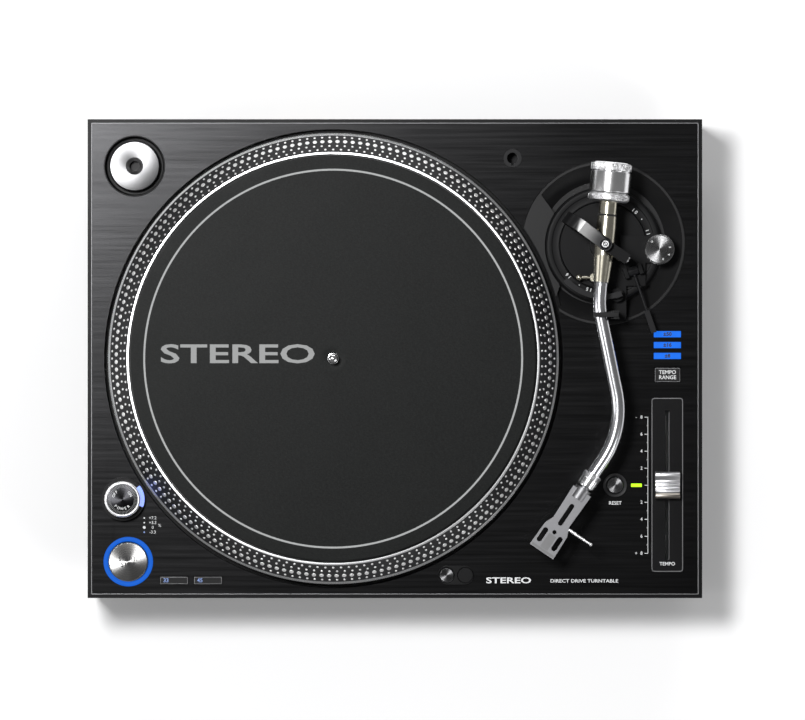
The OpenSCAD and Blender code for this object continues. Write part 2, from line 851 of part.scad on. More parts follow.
module arm_rest() {
    under = tube_z - tube_r - 0.6;
    color("black") at_pivot() translate([0, rest_back, 0]) {
        block(rest_x - 1, rest_x + 4, -3, 3, bracket_top, tube_z + 2);
        block(-8, rest_x + 1, -2.5, 2.5, under - 4, under);
        for (side = [-1, 1]) {
            y = side * 2.5;
            block(clip_x - 2, clip_x + 2, y - 0.6, y + 0.6, tube_z + 2 - eps, tube_z + clip_z - 1.6);
        }
        translate([clip_x, 3.1, tube_z + clip_z - 3.2]) rod(0.8, 6.2);
    }
}

module arm_clip() {
    z = tube_z + clip_z - 3.2;
    color("black") at_pivot() translate([0, rest_back, 0]) difference() {
        union() {
            translate([clip_x, 1.7, z]) rod(1.7, 3.4);
            block(clip_x - 1.5, clip_x + 1.2, -1.7, 1.7, z, z + 3);
            block(-8, clip_x + 1.2, -1.7, 1.7, z + 1.4, z + 3);
        }
        translate([clip_x, 5, z]) rod(0.8 + run_gap, 10);
    }
}

// ---- tonearm ----

module pivot_housing() {
    color("tan") translate([pivot_at[0], pivot_at[1], tube_z]) difference() {
        union() {
            rotate([0, 0, -housing_turn]) rotate([90, 0, 0]) rotate_extrude() polygon([
                [0, -housing_rear], [shaft_r + 0.3, -housing_rear], [housing_r, -housing_rear + 10],
                [housing_r, 8], [housing_r - 1.55, housing_front], [0, housing_front]
            ]);
            rotate([0, 0, pitch_turn]) rotate([0, 90, 0])
                cylinder(r = 4, h = 2 * (gimbal_inner - 0.5), center = true);
        }
        rotate([0, 0, pitch_turn]) rotate([0, 90, 0])
            cylinder(r = 1.5 + run_gap, h = 40, center = true);
    }
}

// A bend is a hair thicker than the straights, which reach a little way into it
module tube_bend(r, angle) {
    rotate_extrude(angle = angle) translate([r, 0]) circle(r = tube_r + bend_extra);
}

module arm_tube() {
    lap = 0.3;
    color("silver") difference() {
        on_arm() translate([0, -housing_front, 0]) {
            rod(tube_r, tube_start + lap);
            translate([0, -tube_start, 0]) {
                translate([bend1_r, 0, 0]) rotate([0, 0, 180]) tube_bend(bend1_r, bend1);
                past_left_bend(bend1_r, bend1) {
                    translate([0, lap, 0]) rod(tube_r, tube_middle + 2 * lap);
                    translate([0, -tube_middle, 0]) {
                        translate([-bend2_r, 0, 0]) rotate([0, 0, -bend2]) tube_bend(bend2_r, bend2);
                        past_right_bend(bend2_r, bend2) translate([0, lap, 0])
                            rod(tube_r, tube_end + collar_l - 1 + lap);
                    }
                }
            }
        }
        at_nose() translate([0, 1, 0]) rod(pin_r + run_gap, collar_l + 5);
    }
}

module rear_shaft() {
    color("tan") on_arm() {
        translate([0, housing_rear, 0]) rotate([-90, 0, 0])
            cylinder(r = shaft_r - 0.6, h = decoupler_l + eps);
        translate([0, shaft_end, 0]) rod(shaft_r, shaft_end - housing_rear - decoupler_l);
    }
}

module weight_insert() {
    color("dimgray") on_arm() translate([0, shaft_end, 0]) difference() {
        rod(shaft_r + 3, shaft_end - weight_start - 0.8);
        translate([0, 1, 0]) rod(shaft_r + run_gap, 18);
    }
}

module counterweight() {
    back = weight_start + weight_l;
    color("silver") on_arm() difference() {
        translate([0, back, 0]) rod(weight_r, weight_l);
        translate([0, back - 2.7, 0]) rod(shaft_r + 3 + run_gap, weight_l);
    }
}

module scale_ring() {
    color("silver") on_arm() difference() {
        translate([0, weight_start - free_gap, 0]) rod(weight_r + 0.2, weight_start - scale_start - free_gap);
        translate([0, weight_start, 0]) rod(shaft_r + 0.3, 10);
    }
}

module lock_collar() {
    color("silver") at_nose() difference() {
        union() {
            rod(7, 4.6);
            translate([0, -4.5, 0]) rod(6.6, collar_l - 4.5);
        }
        translate([0, 1, 0]) rod(tube_r + run_gap, collar_l + 2);
    }
}

module headshell() {
    neck = 15.4 / 2;
    wide = shell_w / 2;
    plate_z = 0.5;
    plate_t = 4;
    color("silver") at_nose() difference() {
        union() {
            translate([0, -2, 0]) rod(pin_r, shell_start);
            translate([0, -shell_start, 0]) rod(6.3, 9);
            translate([0, 0, plate_z]) linear_extrude(plate_t) polygon([
                [-neck, -shell_start - 2], [neck, -shell_start - 2], [neck - 0.8, -shell_front + 26],
                [wide - 0.6, -shell_front + 19.5], [wide, -shell_front], [-wide, -shell_front],
                [-wide + 0.6, -shell_front + 19.5], [-neck + 0.8, -shell_front + 26]
            ]);
        }
        for (side = [-1, 1]) shell_slot(side * cartridge_pitch / 2, 10.9, 11.6, 3.8);
        shell_slot(0, 32.4, 18.4, 3.5);
        translate([0, -shell_front + 17.1, -5]) cylinder(r = 1.5, h = 20);
        at_lift() translate([0, 0, -1]) cylinder(r = lift_r + run_gap, h = 6);
    }
}

// A slot through the headshell, its centre this far from the front edge
module shell_slot(x, from_front, length, width) {
    reach = (length - width) / 2;
    translate([x, -shell_front + from_front, -5]) {
        translate([-width / 2, -reach, 0]) cube([width, 2 * reach, 20]);
        for (side = [-1, 1]) translate([0, side * reach, 0]) cylinder(r = width / 2, h = 20);
    }
}

// The finger lift's own frame: its root in the plate's side, its tip towards +Z
module at_lift() {
    translate([6, -shell_front + 24.5, 2.5]) rotate([0, 82, 0]) children();
}

module finger_lift() {
    reach = 21;
    color("silver") at_nose() at_lift() rotate_extrude() {
        polygon([[0, 0], [lift_r, 0], [0.8, reach], [0, reach]]);
        translate([0, reach]) intersection() {
            circle(r = lift_r);
            translate([0, -2]) square([2, 4]);
        }
    }
}

top_chassis();
top_panel();
resin_deck();
rubber_base();
stator();
bearing_housing();
power_supply();
main_board();
adapter_well();
headshell_stand();
strobe_housing();
strobe_window();
start_ring();
lamp_housing();
slider_bezel();
fader_unit();
range_lights();
zero_light();
arm_dish();
rear_jacks();
mains_inlet();
platter();
platter_damper();
rotor_magnet();
spindle();
slipmat();
single_adapter();
start_button();
button_33();
button_45();
reset_button();
range_button();
lamp_button();
stylus_lamp();
power_knob();
tempo_knob();
height_ring();
arm_base();
bearing_bridge();
top_pivot();
arm_rest();
height_lock();
antiskate_dial();
cue_lever();
lift_platform();
arm_clip();
gimbal();
pivot_housing();
arm_tube();
rear_shaft();
weight_insert();
counterweight();
scale_ring();
lock_collar();
headshell();
finger_lift();
foot_front_left();
foot_front_right();
foot_rear_left();
foot_rear_right();
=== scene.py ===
"""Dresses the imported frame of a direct-drive turntable: metals, felt, printing, lights and stage."""

import json
from math import atan2, cos, hypot, pi, radians, sin, tau

import bmesh
import bpy
from bpy.props import FloatProperty, FloatVectorProperty, IntProperty, PointerProperty, StringProperty
from mathutils import Matrix, Vector, noise


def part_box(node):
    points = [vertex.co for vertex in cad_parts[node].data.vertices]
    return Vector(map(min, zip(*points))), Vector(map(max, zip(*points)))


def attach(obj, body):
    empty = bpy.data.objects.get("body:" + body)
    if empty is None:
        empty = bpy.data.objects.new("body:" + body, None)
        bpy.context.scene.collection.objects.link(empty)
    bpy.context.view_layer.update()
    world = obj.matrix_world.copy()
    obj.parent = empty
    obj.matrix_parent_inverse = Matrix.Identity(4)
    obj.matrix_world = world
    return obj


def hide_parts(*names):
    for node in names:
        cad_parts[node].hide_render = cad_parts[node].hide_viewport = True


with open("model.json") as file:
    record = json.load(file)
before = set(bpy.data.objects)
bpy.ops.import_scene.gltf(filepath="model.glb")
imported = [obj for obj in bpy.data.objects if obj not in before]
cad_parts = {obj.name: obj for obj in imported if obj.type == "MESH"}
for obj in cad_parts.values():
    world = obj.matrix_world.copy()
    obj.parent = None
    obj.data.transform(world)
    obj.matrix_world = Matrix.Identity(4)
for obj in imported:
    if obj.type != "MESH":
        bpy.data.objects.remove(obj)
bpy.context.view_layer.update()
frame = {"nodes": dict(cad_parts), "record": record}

bl_info = {
    "name": "Direct-drive turntable",
    "version": (1, 0, 0),
    "blender": (4, 5, 0),
    "location": "View3D > Sidebar > Turntable",
    "description": "Builds the visible pieces, the finishes and the stage of a direct-drive turntable",
    "category": "Add Mesh",
}

MM = 0.001
SMOOTH_ANGLE = radians(34)
WELD = 0.002 * MM
PRINT_DEPTH = 0.05 * MM
FILLET_STEPS = 4
WHITE_PRINT = (0.78, 0.79, 0.8, 1)


# ---- node graphs ----

class Value:
    """One output of a node. Arithmetic on it adds Math nodes to its graph."""

    def __init__(self, graph, socket):
        self.graph = graph
        self.socket = socket

    def __add__(self, other):
        return self.graph.math("ADD", self, other)

    def __radd__(self, other):
        return self.graph.math("ADD", other, self)

    def __sub__(self, other):
        return self.graph.math("SUBTRACT", self, other)

    def __rsub__(self, other):
        return self.graph.math("SUBTRACT", other, self)

    def __mul__(self, other):
        return self.graph.math("MULTIPLY", self, other)

    def __rmul__(self, other):
        return self.graph.math("MULTIPLY", other, self)

    def __truediv__(self, other):
        return self.graph.math("DIVIDE", self, other)

    def __pow__(self, other):
        return self.graph.math("POWER", self, other)

    def sine(self):
        return self.graph.math("SINE", self)

    def cosine(self):
        return self.graph.math("COSINE", self)

    def size(self):
        return self.graph.math("ABSOLUTE", self)

    def rises(self, edge, soft):
        """0 below the edge and 1 above it, with a soft change this far to each side."""
        limits = {"Value": self, "From Min": edge - soft, "From Max": edge + soft}
        return self.graph.node("ShaderNodeMapRange", {"interpolation_type": "SMOOTHSTEP"}, limits)

    def within(self, low, high, soft):
        return self.rises(low, soft) * (1 - self.rises(high, soft))


class Graph:
    """A node tree, in which every node comes from one method."""

    def __init__(self, tree):
        self.tree = tree

    def node(self, kind, settings=None, inputs=None, output=0):
        made = self.tree.nodes.new(kind)
        for name, value in (settings or {}).items():
            setattr(made, name, value)
        for key, value in (inputs or {}).items():
            if isinstance(value, Value):
                self.tree.links.new(value.socket, made.inputs[key])
            else:
                made.inputs[key].default_value = value
        return Value(self, made.outputs[output]) if len(made.outputs) else None

    def math(self, operation, *terms):
        return self.node("ShaderNodeMath", {"operation": operation}, dict(enumerate(terms)))

    def split(self, vector):
        first = self.node("ShaderNodeSeparateXYZ", None, {0: vector})
        return [Value(self, socket) for socket in first.socket.node.outputs]

    def join(self, x, y, z):
        return self.node("ShaderNodeCombineXYZ", None, {0: x, 1: y, 2: z})


class Finish(Graph):
    """A material: one principled shader and what feeds it."""

    def __init__(self, name, constants):
        self.material = bpy.data.materials.new(name + "_finish")
        self.material.use_nodes = True
        super().__init__(self.material.node_tree)
        self.shader = self.tree.nodes["Principled BSDF"]
        for socket, value in constants.items():
            self.shader.inputs[socket].default_value = value

    def feed(self, socket, value):
        self.tree.links.new(value.socket, self.shader.inputs[socket])

    def place(self, centre=(0, 0, 0), turn=(0, 0, 0), scale=(1, 1, 1)):
        """The point on the piece, in metres, in a frame at this centre."""
        point = self.node("ShaderNodeTexCoord", None, None, "Object")
        frame_at = {"Vector": point, "Location": centre, "Rotation": turn, "Scale": scale}
        return self.node("ShaderNodeMapping", {"vector_type": "TEXTURE"}, frame_at)

    def grain(self, vector, scale, detail=2.0, rough=0.5):
        values = {"Vector": vector, "Scale": scale, "Detail": detail, "Roughness": rough}
        return self.node("ShaderNodeTexNoise", None, values)

    def mix(self, share, first, second):
        values = {0: share, 6: first, 7: second}
        return self.node("ShaderNodeMix", {"data_type": "RGBA"}, values, 2)

    def shades(self, share, dark, light):
        return self.mix(share, (*dark, 1), (*light, 1))

    def relief(self, height, distance):
        return self.node("ShaderNodeBump", None, {"Strength": 1.0, "Distance": distance, "Height": height})

    def radius(self, vector):
        x, y, _ = self.split(vector)
        return (x * x + y * y) ** 0.5


# ---- finishes ----

def scaled(colour, share):
    return tuple(min(1.0, c * share) for c in colour)


def moulded(name, colour, rough=0.42, grain_size=0.35, relief=0.012, metallic=0.0, spread=0.3, gloss=0.1):
    """Moulded plastic, paint or cast metal: a fine pebble, cloudy gloss, and a colour a little darker in the
    pebble's low spots and lighter on its tops.
    """
    f = Finish(name, {"Metallic": metallic, "Specular IOR Level": gloss})
    point = f.place()
    pebble = f.grain(point, 1 / (grain_size * MM), 2.0)
    cloud = f.grain(point, 28.0, 3.0, 0.6)
    # The tone follows the pebble as well as a cloud: darker in the pebble's low spots, lighter on its tops.
    share = 0.55 * pebble + 0.45 * cloud
    f.feed("Base Color", f.shades(share, scaled(colour, 1 - spread), scaled(colour, 1 + spread)))
    f.feed("Roughness", rough - 0.06 + 0.12 * cloud + 0.05 * pebble)
    f.feed("Normal", f.relief(pebble, relief * MM))
    return f.material


def rubber(name, colour=(0.012, 0.012, 0.013)):
    f = Finish(name, {"Specular IOR Level": 0.3, "Sheen Weight": 0.08, "Sheen Roughness": 0.5})
    point = f.place()
    pebble = f.grain(point, 2200.0, 3.0, 0.6)
    smudge = f.grain(point, 45.0, 4.0, 0.65)
    f.feed("Base Color", f.shades(0.4 * pebble + 0.6 * smudge, scaled(colour, 0.6), scaled(colour, 1.9)))
    f.feed("Roughness", 0.62 + 0.2 * smudge)
    f.feed("Normal", f.relief(pebble, 0.03 * MM))
    return f.material


def satin_metal(name, colour, rough=0.26, stretch=(1, 1, 1), turn=(0, 0, 0), relief=0.004):
    """Anodised or blasted metal, with a fine grain that may be drawn out along one axis."""
    f = Finish(name, {"Metallic": 1.0})
    fine = f.grain(f.place(turn=turn, scale=stretch), 2600.0, 2.0)
    cloud = f.grain(f.place(), 60.0, 3.0, 0.6)
    f.feed("Base Color", f.shades(0.5 * fine + 0.5 * cloud, scaled(colour, 0.86), scaled(colour, 1.1)))
    f.feed("Roughness", rough - 0.05 + 0.08 * fine + 0.06 * cloud)
    f.feed("Normal", f.relief(fine, relief * MM))
    return f.material


def knurled_finish(name):
    """Bare metal rolled with small diamonds: painted highlights on the raised points and painted shade in
    the dark valleys between them.
    """
    f = Finish(name, {"Metallic": 1.0})
    cells = f.node("ShaderNodeTexVoronoi", {"feature": "F1"}, {"Vector": f.place(), "Scale": 1150.0}, 0)
    fine = f.grain(f.place(), 900.0, 3.0, 0.7)
    # The raised parts of the diamonds are painted near white and the valleys near black: painted highlight
    # and painted shade.
    share = (0.55 * fine + 0.9 * cells).rises(0.62, 0.2)
    f.feed("Base Color", f.shades(share, (0.1, 0.1, 0.1), (0.86, 0.86, 0.87)))
    f.feed("Roughness", 0.28 + 0.15 * fine)
    f.feed("Normal", f.relief(cells, 0.12 * MM))
    return f.material


def spun(name, centre, colour, rough=0.24, turned=0.75, groove=0.22, relief=0.006):
    """A face turned on a lathe: fine rings about its centre and the sheen that they give."""
    f = Finish(name, {"Metallic": 1.0, "Anisotropic": turned})
    radius = f.radius(f.place(centre=(centre[0], centre[1], 0)))
    rings = f.node("ShaderNodeTexNoise", {"noise_dimensions": "1D"},
                   {"W": radius, "Scale": 1 / (groove * MM), "Detail": 3.0, "Roughness": 0.7})
    cloud = f.grain(f.place(), 90.0, 2.0)
    f.feed("Base Color", f.shades(0.7 * rings + 0.3 * cloud, scaled(colour, 0.78), scaled(colour, 1.12)))
    f.feed("Roughness", rough - 0.04 + 0.1 * rings)
    f.feed("Normal", f.relief(rings, relief * MM))
    return f.material


def brushed_panel(name, colour):
    """Black anodised sheet, brushed from side to side."""
    f = Finish(name, {"Metallic": 0.92, "Specular IOR Level": 0.1})
    hair = f.grain(f.place(scale=(26, 0.34, 1)), 900.0, 3.0, 0.65)
    streak = f.grain(f.place(scale=(60, 1.5, 1)), 620.0, 2.0, 0.6)
    cloud = f.grain(f.place(), 9.0, 2.0)
    share = 0.5 * hair + 0.35 * streak + 0.15 * cloud
    f.feed("Base Color", f.shades(share, scaled(colour, 0.2), scaled(colour, 2.1)))
    f.feed("Roughness", 0.15 + 0.1 * streak + 0.03 * cloud)
    f.feed("Normal", f.relief(hair * 0.6 + streak * 0.4, 0.0022 * MM))
    return f.material


def glowing(name, colour, strength, centre=(0, 0)):
    """A tinted light guide, with faint hot spots behind it."""
    f = Finish(name, {"Emission Strength": strength, "Roughness": 0.55, "Specular IOR Level": 0.1})
    point = f.place(centre=(centre[0], centre[1], 0))
    spots = f.grain(point, 240.0, 2.0)
    share = 0.35 + 0.65 * spots
    f.feed("Base Color", f.shades(share, scaled(colour, 0.05), scaled(colour, 0.12)))
    f.feed("Emission Color", f.shades(share, scaled(colour, 0.75), colour))
    f.feed("Normal", f.relief(spots, 0.01 * MM))
    return f.material


def printed(name, colour):
    """Screen-printed ink: almost even, with a slightly grainy edge to its gloss."""
    f = Finish(name, {"Specular IOR Level": 0.35})
    speck = f.grain(f.place(), 1800.0, 2.0)
    f.feed("Base Color", f.shades(speck, scaled(colour[:3], 0.8), scaled(colour[:3], 1.05)))
    f.feed("Roughness", 0.48 + 0.16 * speck)
    f.feed("Normal", f.relief(speck, 0.004 * MM))
    return f.material


def circuit_board(name):
    f = Finish(name, {"Specular IOR Level": 0.5})
    x, y, _ = f.split(f.place())
    lines = ((x * 1600).sine() * (y * 1600).sine()).rises(0.35, 0.1)
    speck = f.grain(f.place(), 400.0, 2.0)
    f.feed("Base Color", f.mix(lines, (0.01, 0.09, 0.03, 1), (0.05, 0.2, 0.07, 1)))
    f.feed("Roughness", 0.35 + 0.2 * speck)
    f.feed("Normal", f.relief(lines, 0.03 * MM))
    return f.material


def platter_finish(name, sizes, centre):
    """Turned aluminium, blackened on the slope between its two bright edges."""
    f = Finish(name, {"Anisotropic": 0.45})
    point = f.place(centre=(centre[0], centre[1], 0))
    radius = f.radius(point)
    outer = radius.rises(sizes.bright_edge_inner, 0.12 * MM)
    inner = radius.within(sizes.lip_inner, sizes.lip_outer, 0.1 * MM)
    bright = outer + inner
    rings = f.node("ShaderNodeTexNoise", {"noise_dimensions": "1D"},
                   {"W": radius, "Scale": 5200.0, "Detail": 3.0, "Roughness": 0.7})
    cloud = f.grain(f.place(), 70.0, 3.0)
    metal = f.shades(rings, (0.62, 0.63, 0.64), (0.8, 0.8, 0.81))
    black = f.shades(cloud, (0.004, 0.004, 0.005), (0.012, 0.012, 0.013))
    f.feed("Base Color", f.mix(bright, black, metal))
    f.feed("Metallic", bright)
    f.feed("Roughness", 0.34 - 0.1 * bright + 0.07 * rings)
    f.feed("Normal", f.relief(rings, 0.005 * MM))
    return f.material


def felt_finish(name, sizes, centre):
    """Pressed wool: matted fibres, lighter specks, and one printed ring near the edge."""
    f = Finish(name, {"Specular IOR Level": 0.07, "Sheen Weight": 0.03, "Sheen Roughness": 0.5})
    point = f.place(centre=(centre[0], centre[1], 0))
    radius = f.radius(point)
    warp = f.grain(f.place(scale=(3.2, 0.8, 1)), 1500.0, 4.0, 0.7)
    weft = f.grain(f.place(scale=(0.8, 3.2, 1), turn=(0, 0, 0.4)), 1400.0, 4.0, 0.7)
    pile = f.grain(point, 900.0, 5.0, 0.75)
    cloud = f.grain(point, 22.0, 3.0, 0.6)
    fibre = (0.4 * warp + 0.3 * weft + 0.3 * pile)
    share = fibre.rises(0.52, 0.13) * 0.75 + cloud * 0.25
    wool = f.shades(share, sizes.felt_dark, sizes.felt_light)
    half = sizes.ring_print_width / 2
    edge = radius + (fibre - 0.5) * 0.6 * MM
    ring = edge.within(sizes.ring_print_radius - half, sizes.ring_print_radius + half, 0.18 * MM)
    ink = f.shades(fibre, (0.2, 0.205, 0.205), (0.62, 0.63, 0.63))
    f.feed("Base Color", f.mix(ring * 0.9, wool, ink))
    f.feed("Roughness", 0.34 + 0.1 * cloud)
    f.feed("Normal", f.relief(fibre + 0.5 * pile, 0.035 * MM))
    return f.material


# ---- repeating trees ----

class Repeat(Graph):
    """A geometry tree that sets copies of the shape it is given, each place worked out from its index."""

    def __init__(self, name, sizes):
        super().__init__(bpy.data.node_groups.new(name, "GeometryNodeTree"))
        face = self.tree.interface
        face.new_socket("Geometry", in_out="OUTPUT", socket_type="NodeSocketGeometry")
        face.new_socket("Shape", in_out="INPUT", socket_type="NodeSocketGeometry")
        for label, kind in sizes.items():
            face.new_socket(label, in_out="INPUT", socket_type="NodeSocket" + kind)
        face.new_socket("Material", in_out="INPUT", socket_type="NodeSocketMaterial")
        self.entry = self.node("NodeGroupInput").socket.node

    def given(self, label):
        return Value(self, self.entry.outputs[label])

    def close(self, position, facing):
        points = self.node("GeometryNodePoints", None, {"Count": self.given("Count"), "Position": position})
        copies = self.node("GeometryNodeInstanceOnPoints", None,
                           {"Points": points, "Instance": self.given("Shape"), "Rotation": facing})
        solid = self.node("GeometryNodeRealizeInstances", None, {0: copies})
        painted = self.node("GeometryNodeSetMaterial", None,
                            {"Geometry": solid, "Material": self.given("Material")})
        self.node("NodeGroupOutput", None, {0: painted})
        return self.tree


def ring_tree():
    """Shapes on a circle or an arc, their X axis along the radius, tilted outward by Tilt."""
    g = Repeat("shapes on a circle",
               {"Count": "Int", "Radius": "Float", "Height": "Float", "Start": "Float", "Step": "Float",
                "Tilt": "Float"})
    turn = g.node("GeometryNodeInputIndex") * g.given("Step") + g.given("Start")
    radius = g.given("Radius")
    place = g.join(turn.cosine() * radius, turn.sine() * radius, g.given("Height"))
    return g.close(place, g.join(0, g.given("Tilt"), turn))


def row_tree():
    """Shapes in a straight row."""
    g = Repeat("shapes in a row", {"Count": "Int", "First": "Vector", "Pitch": "Vector", "Facing": "Float"})
    index = g.node("GeometryNodeInputIndex")
    step = g.node("ShaderNodeVectorMath", {"operation": "SCALE"}, {0: g.given("Pitch"), "Scale": index})
    place = g.node("ShaderNodeVectorMath", {"operation": "ADD"}, {0: g.given("First"), 1: step})
    return g.close(place, g.join(0, 0, g.given("Facing")))


def repeated(tree, shape, material, sizes):
    """Runs a repeating tree on a small shape and returns the result as a plain mesh."""
    holder = bpy.data.objects.new("holder", shape)
    bpy.context.scene.collection.objects.link(holder)
    modifier = holder.modifiers.new("repeat", "NODES")
    modifier.node_group = tree
    values = {**sizes, "Material": material}
    for item in tree.interface.items_tree:
        if item.in_out == "INPUT" and item.name in values:
            modifier[item.identifier] = values[item.name]
    holder.update_tag()
    bpy.context.view_layer.update()
    graph = bpy.context.evaluated_depsgraph_get()
    mesh = bpy.data.meshes.new_from_object(holder.evaluated_get(graph))
    bpy.data.objects.remove(holder)
    return mesh


# ---- meshes ----

def mesh_from(bm, name, smooth=True):
    mesh = bpy.data.meshes.new(name)
    bm.to_mesh(mesh)
    bm.free()
    if smooth:
        mesh.shade_smooth()
        mesh.set_sharp_from_angle(angle=SMOOTH_ANGLE)
    return mesh


def piece(name, mesh, material, body, stands_for=()):
    """Makes a finished mesh an object that rides on a body."""
    mesh.materials.clear()
    mesh.materials.append(material)
    made = bpy.data.objects.new(name, mesh)
    bpy.context.scene.collection.objects.link(made)
    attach(made, body)
    if stands_for:
        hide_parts(*stands_for)
    return made


def filleted(outline, closed):
    """Rounds the corners of an outline of (x, y, fillet) points, each by its own fillet radius."""
    points = []
    count = len(outline)
    for i, (x, y, fillet) in enumerate(outline):
        at = Vector((x, y))
        ends = closed or 0 < i < count - 1
        if not fillet or not ends:
            points.append(at)
            continue
        back = Vector(outline[i - 1][:2]) - at
        on = Vector(outline[(i + 1) % count][:2]) - at
        half = back.angle(on) / 2
        reach = min(fillet * abs(cos(half) / sin(half)), back.length * 0.49, on.length * 0.49)
        first = at + back.normalized() * reach
        last = at + on.normalized() * reach
        for k in range(FILLET_STEPS + 1):
            t = k / FILLET_STEPS
            points.append(first * (1 - t) ** 2 + at * 2 * t * (1 - t) + last * t * t)
    return points


def lathe(name, outline, steps=128, closed=False):
    """Turns an outline of (radius, height, fillet) points about Z, closed or from axis to axis."""
    bm = bmesh.new()
    rings = []
    for at in filleted(outline, closed):
        if at.x < 1e-9:
            rings.append([bm.verts.new((0, 0, at.y))])
        else:
            rings.append([bm.verts.new((at.x * cos(tau * k / steps), at.x * sin(tau * k / steps), at.y))
                          for k in range(steps)])
    pairs = list(zip(rings, rings[1:])) + ([(rings[-1], rings[0])] if closed else [])
    for low, high in pairs:
        for k in range(steps):
            n = (k + 1) % steps
            corners = [low[k % len(low)], low[n % len(low)], high[n % len(high)], high[k % len(high)]]
            unique = list(dict.fromkeys(corners))
            if len(unique) > 2:
                bm.faces.new(unique)
    bmesh.ops.recalc_face_normals(bm, faces=bm.faces)
    return mesh_from(bm, name)


def slab(name, outline, low, high, edge=0.0):
    """A flat plate with this outline of (x, y, fillet) points, its upper rim bevelled by edge."""
    bm = bmesh.new()
    base = [bm.verts.new((at.x, at.y, low)) for at in filleted(outline, True)]
    face = bm.faces.new(base)
    grown = bmesh.ops.extrude_face_region(bm, geom=[face])["geom"]
    top = [v for v in grown if isinstance(v, bmesh.types.BMVert)]
    bmesh.ops.translate(bm, vec=(0, 0, high - low), verts=top)
    bmesh.ops.recalc_face_normals(bm, faces=bm.faces)
    if edge:
        rim = [e for e in bm.edges if all(abs(v.co.z - high) < 1e-7 for v in e.verts)]
        bmesh.ops.bevel(bm, geom=rim, offset=edge, segments=2, affect="EDGES", profile=0.5)
    return mesh_from(bm, name)


def oblong(at, width, depth, fillet):
    x, y = at[0], at[1]
    corners = ((-1, -1), (1, -1), (1, 1), (-1, 1))
    return [(x + i * width / 2, y + j * depth / 2, fillet) for i, j in corners]


def stud(radius, height, sides=12, top=0.8):
    """A short round boss, its top a little smaller, standing on Z = 0."""
    bm = bmesh.new()
    bmesh.ops.create_cone(bm, cap_ends=True, segments=sides, radius1=radius, radius2=radius * top,
                          depth=height)
    bmesh.ops.translate(bm, vec=(0, 0, height / 2), verts=bm.verts)
    return mesh_from(bm, "stud")


def bar(length, width, height, narrow=0.7):
    """A small bar along X, narrower on top, standing on Z = 0."""
    bm = bmesh.new()
    bmesh.ops.create_cube(bm, size=1.0)
    for v in bm.verts:
        top = v.co.z > 0
        v.co = Vector((v.co.x * length, v.co.y * width * (narrow if top else 1), height if top else 0))
    return mesh_from(bm, "bar", smooth=False)


def joined(name, *meshes):
    """One mesh from several, each given as a mesh or as a mesh and its placing matrix."""
    bm = bmesh.new()
    for given in meshes:
        mesh, matrix = given if isinstance(given, tuple) else (given, Matrix.Identity(4))
        copy = mesh.copy()
        copy.transform(matrix)
        bm.from_mesh(copy)
        bpy.data.meshes.remove(copy)
    return mesh_from(bm, name)


def softened(node, edge, material, segments=2, angle=32.0):
    """Stands a copy of a CAD node in for it, welded and with its sharp edges broken."""
    source = frame["nodes"][node]
    bm = bmesh.new()
    bm.from_mesh(source.data)
    bmesh.ops.remove_doubles(bm, verts=bm.verts, dist=WELD)
    bmesh.ops.dissolve_limit(bm, angle_limit=radians(0.6), verts=bm.verts, edges=bm.edges)
    sharp = [e for e in bm.edges if len(e.link_faces) == 2 and e.calc_face_angle(0) > radians(angle)]
    bmesh.ops.bevel(bm, geom=sharp, offset=edge, segments=segments, affect="EDGES", profile=0.5,
                    clamp_overlap=True, loop_slide=True)
    body = next(b for b, nodes in frame["record"]["behaviour"]["bodies"].items() if node in nodes)
    return piece(node + "_dressed", weighted(mesh_from(bm, node)), material, body, (node,))


def weighted(mesh):
    """Corner normals weighted by face area, so that a broken edge doesn't shade the flat beside it."""
    holder = bpy.data.objects.new("holder", mesh)
    bpy.context.scene.collection.objects.link(holder)
    smoother = holder.modifiers.new("weighted", "WEIGHTED_NORMAL")
    smoother.mode = "FACE_AREA"
    smoother.weight = 100
    smoother.keep_sharp = True
    bpy.context.view_layer.update()
    made = bpy.data.meshes.new_from_object(holder.evaluated_get(bpy.context.evaluated_depsgraph_get()))
    bpy.data.objects.remove(holder)
    return made


def paint(node, material):
    """Gives a CAD node that keeps its own shape its finish."""
    slots = frame["nodes"][node].data.materials
    slots.clear()
    slots.append(material)


def middle(node):
    low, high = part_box(node)
    return (low + high) / 2


def lettering(name, words, height, at, body, material, turn=0.0, spread=1.0, bold=0.0, align="CENTER"):
    """Printed words of this cap height, lying flat at a point, read from the front unless turned."""
    curve = bpy.data.curves.new(name, "FONT")
    curve.body = words
    curve.size = height / 0.7
    curve.space_character = 1.0
    curve.space_line = 0.78
    curve.align_x = align
    curve.align_y = "CENTER"
    curve.extrude = PRINT_DEPTH / 2
    curve.offset = bold
    curve.resolution_u = 3
    holder = bpy.data.objects.new("holder", curve)
    bpy.context.scene.collection.objects.link(holder)
    bpy.context.view_layer.update()
    graph = bpy.context.evaluated_depsgraph_get()
    mesh = bpy.data.meshes.new_from_object(holder.evaluated_get(graph))
    bpy.data.objects.remove(holder)
    placed = Matrix.Translation(at) @ Matrix.Rotation(turn, 4, "Z") @ Matrix.Diagonal((spread, 1, 1, 1))
    mesh.transform(placed)
    return piece(name, mesh, material, body)


# ---- sizes and colours that a user may change ----

def length(label, text, millimetres):
    return FloatProperty(name=label, description=text, default=millimetres * MM, unit="LENGTH", precision=4)


def turn(label, text, value):
    return FloatProperty(name=label, description=text, default=radians(value), unit="ROTATION")


def number(label, text, value):
    return IntProperty(name=label, description=text, default=value, min=1)


def colour(label, text, value):
    return FloatVectorProperty(name=label, description=text, default=value, subtype="COLOR", size=3,
                               min=0, max=1)


def word(label, text, value):
    return StringProperty(name=label, description=text, default=value)


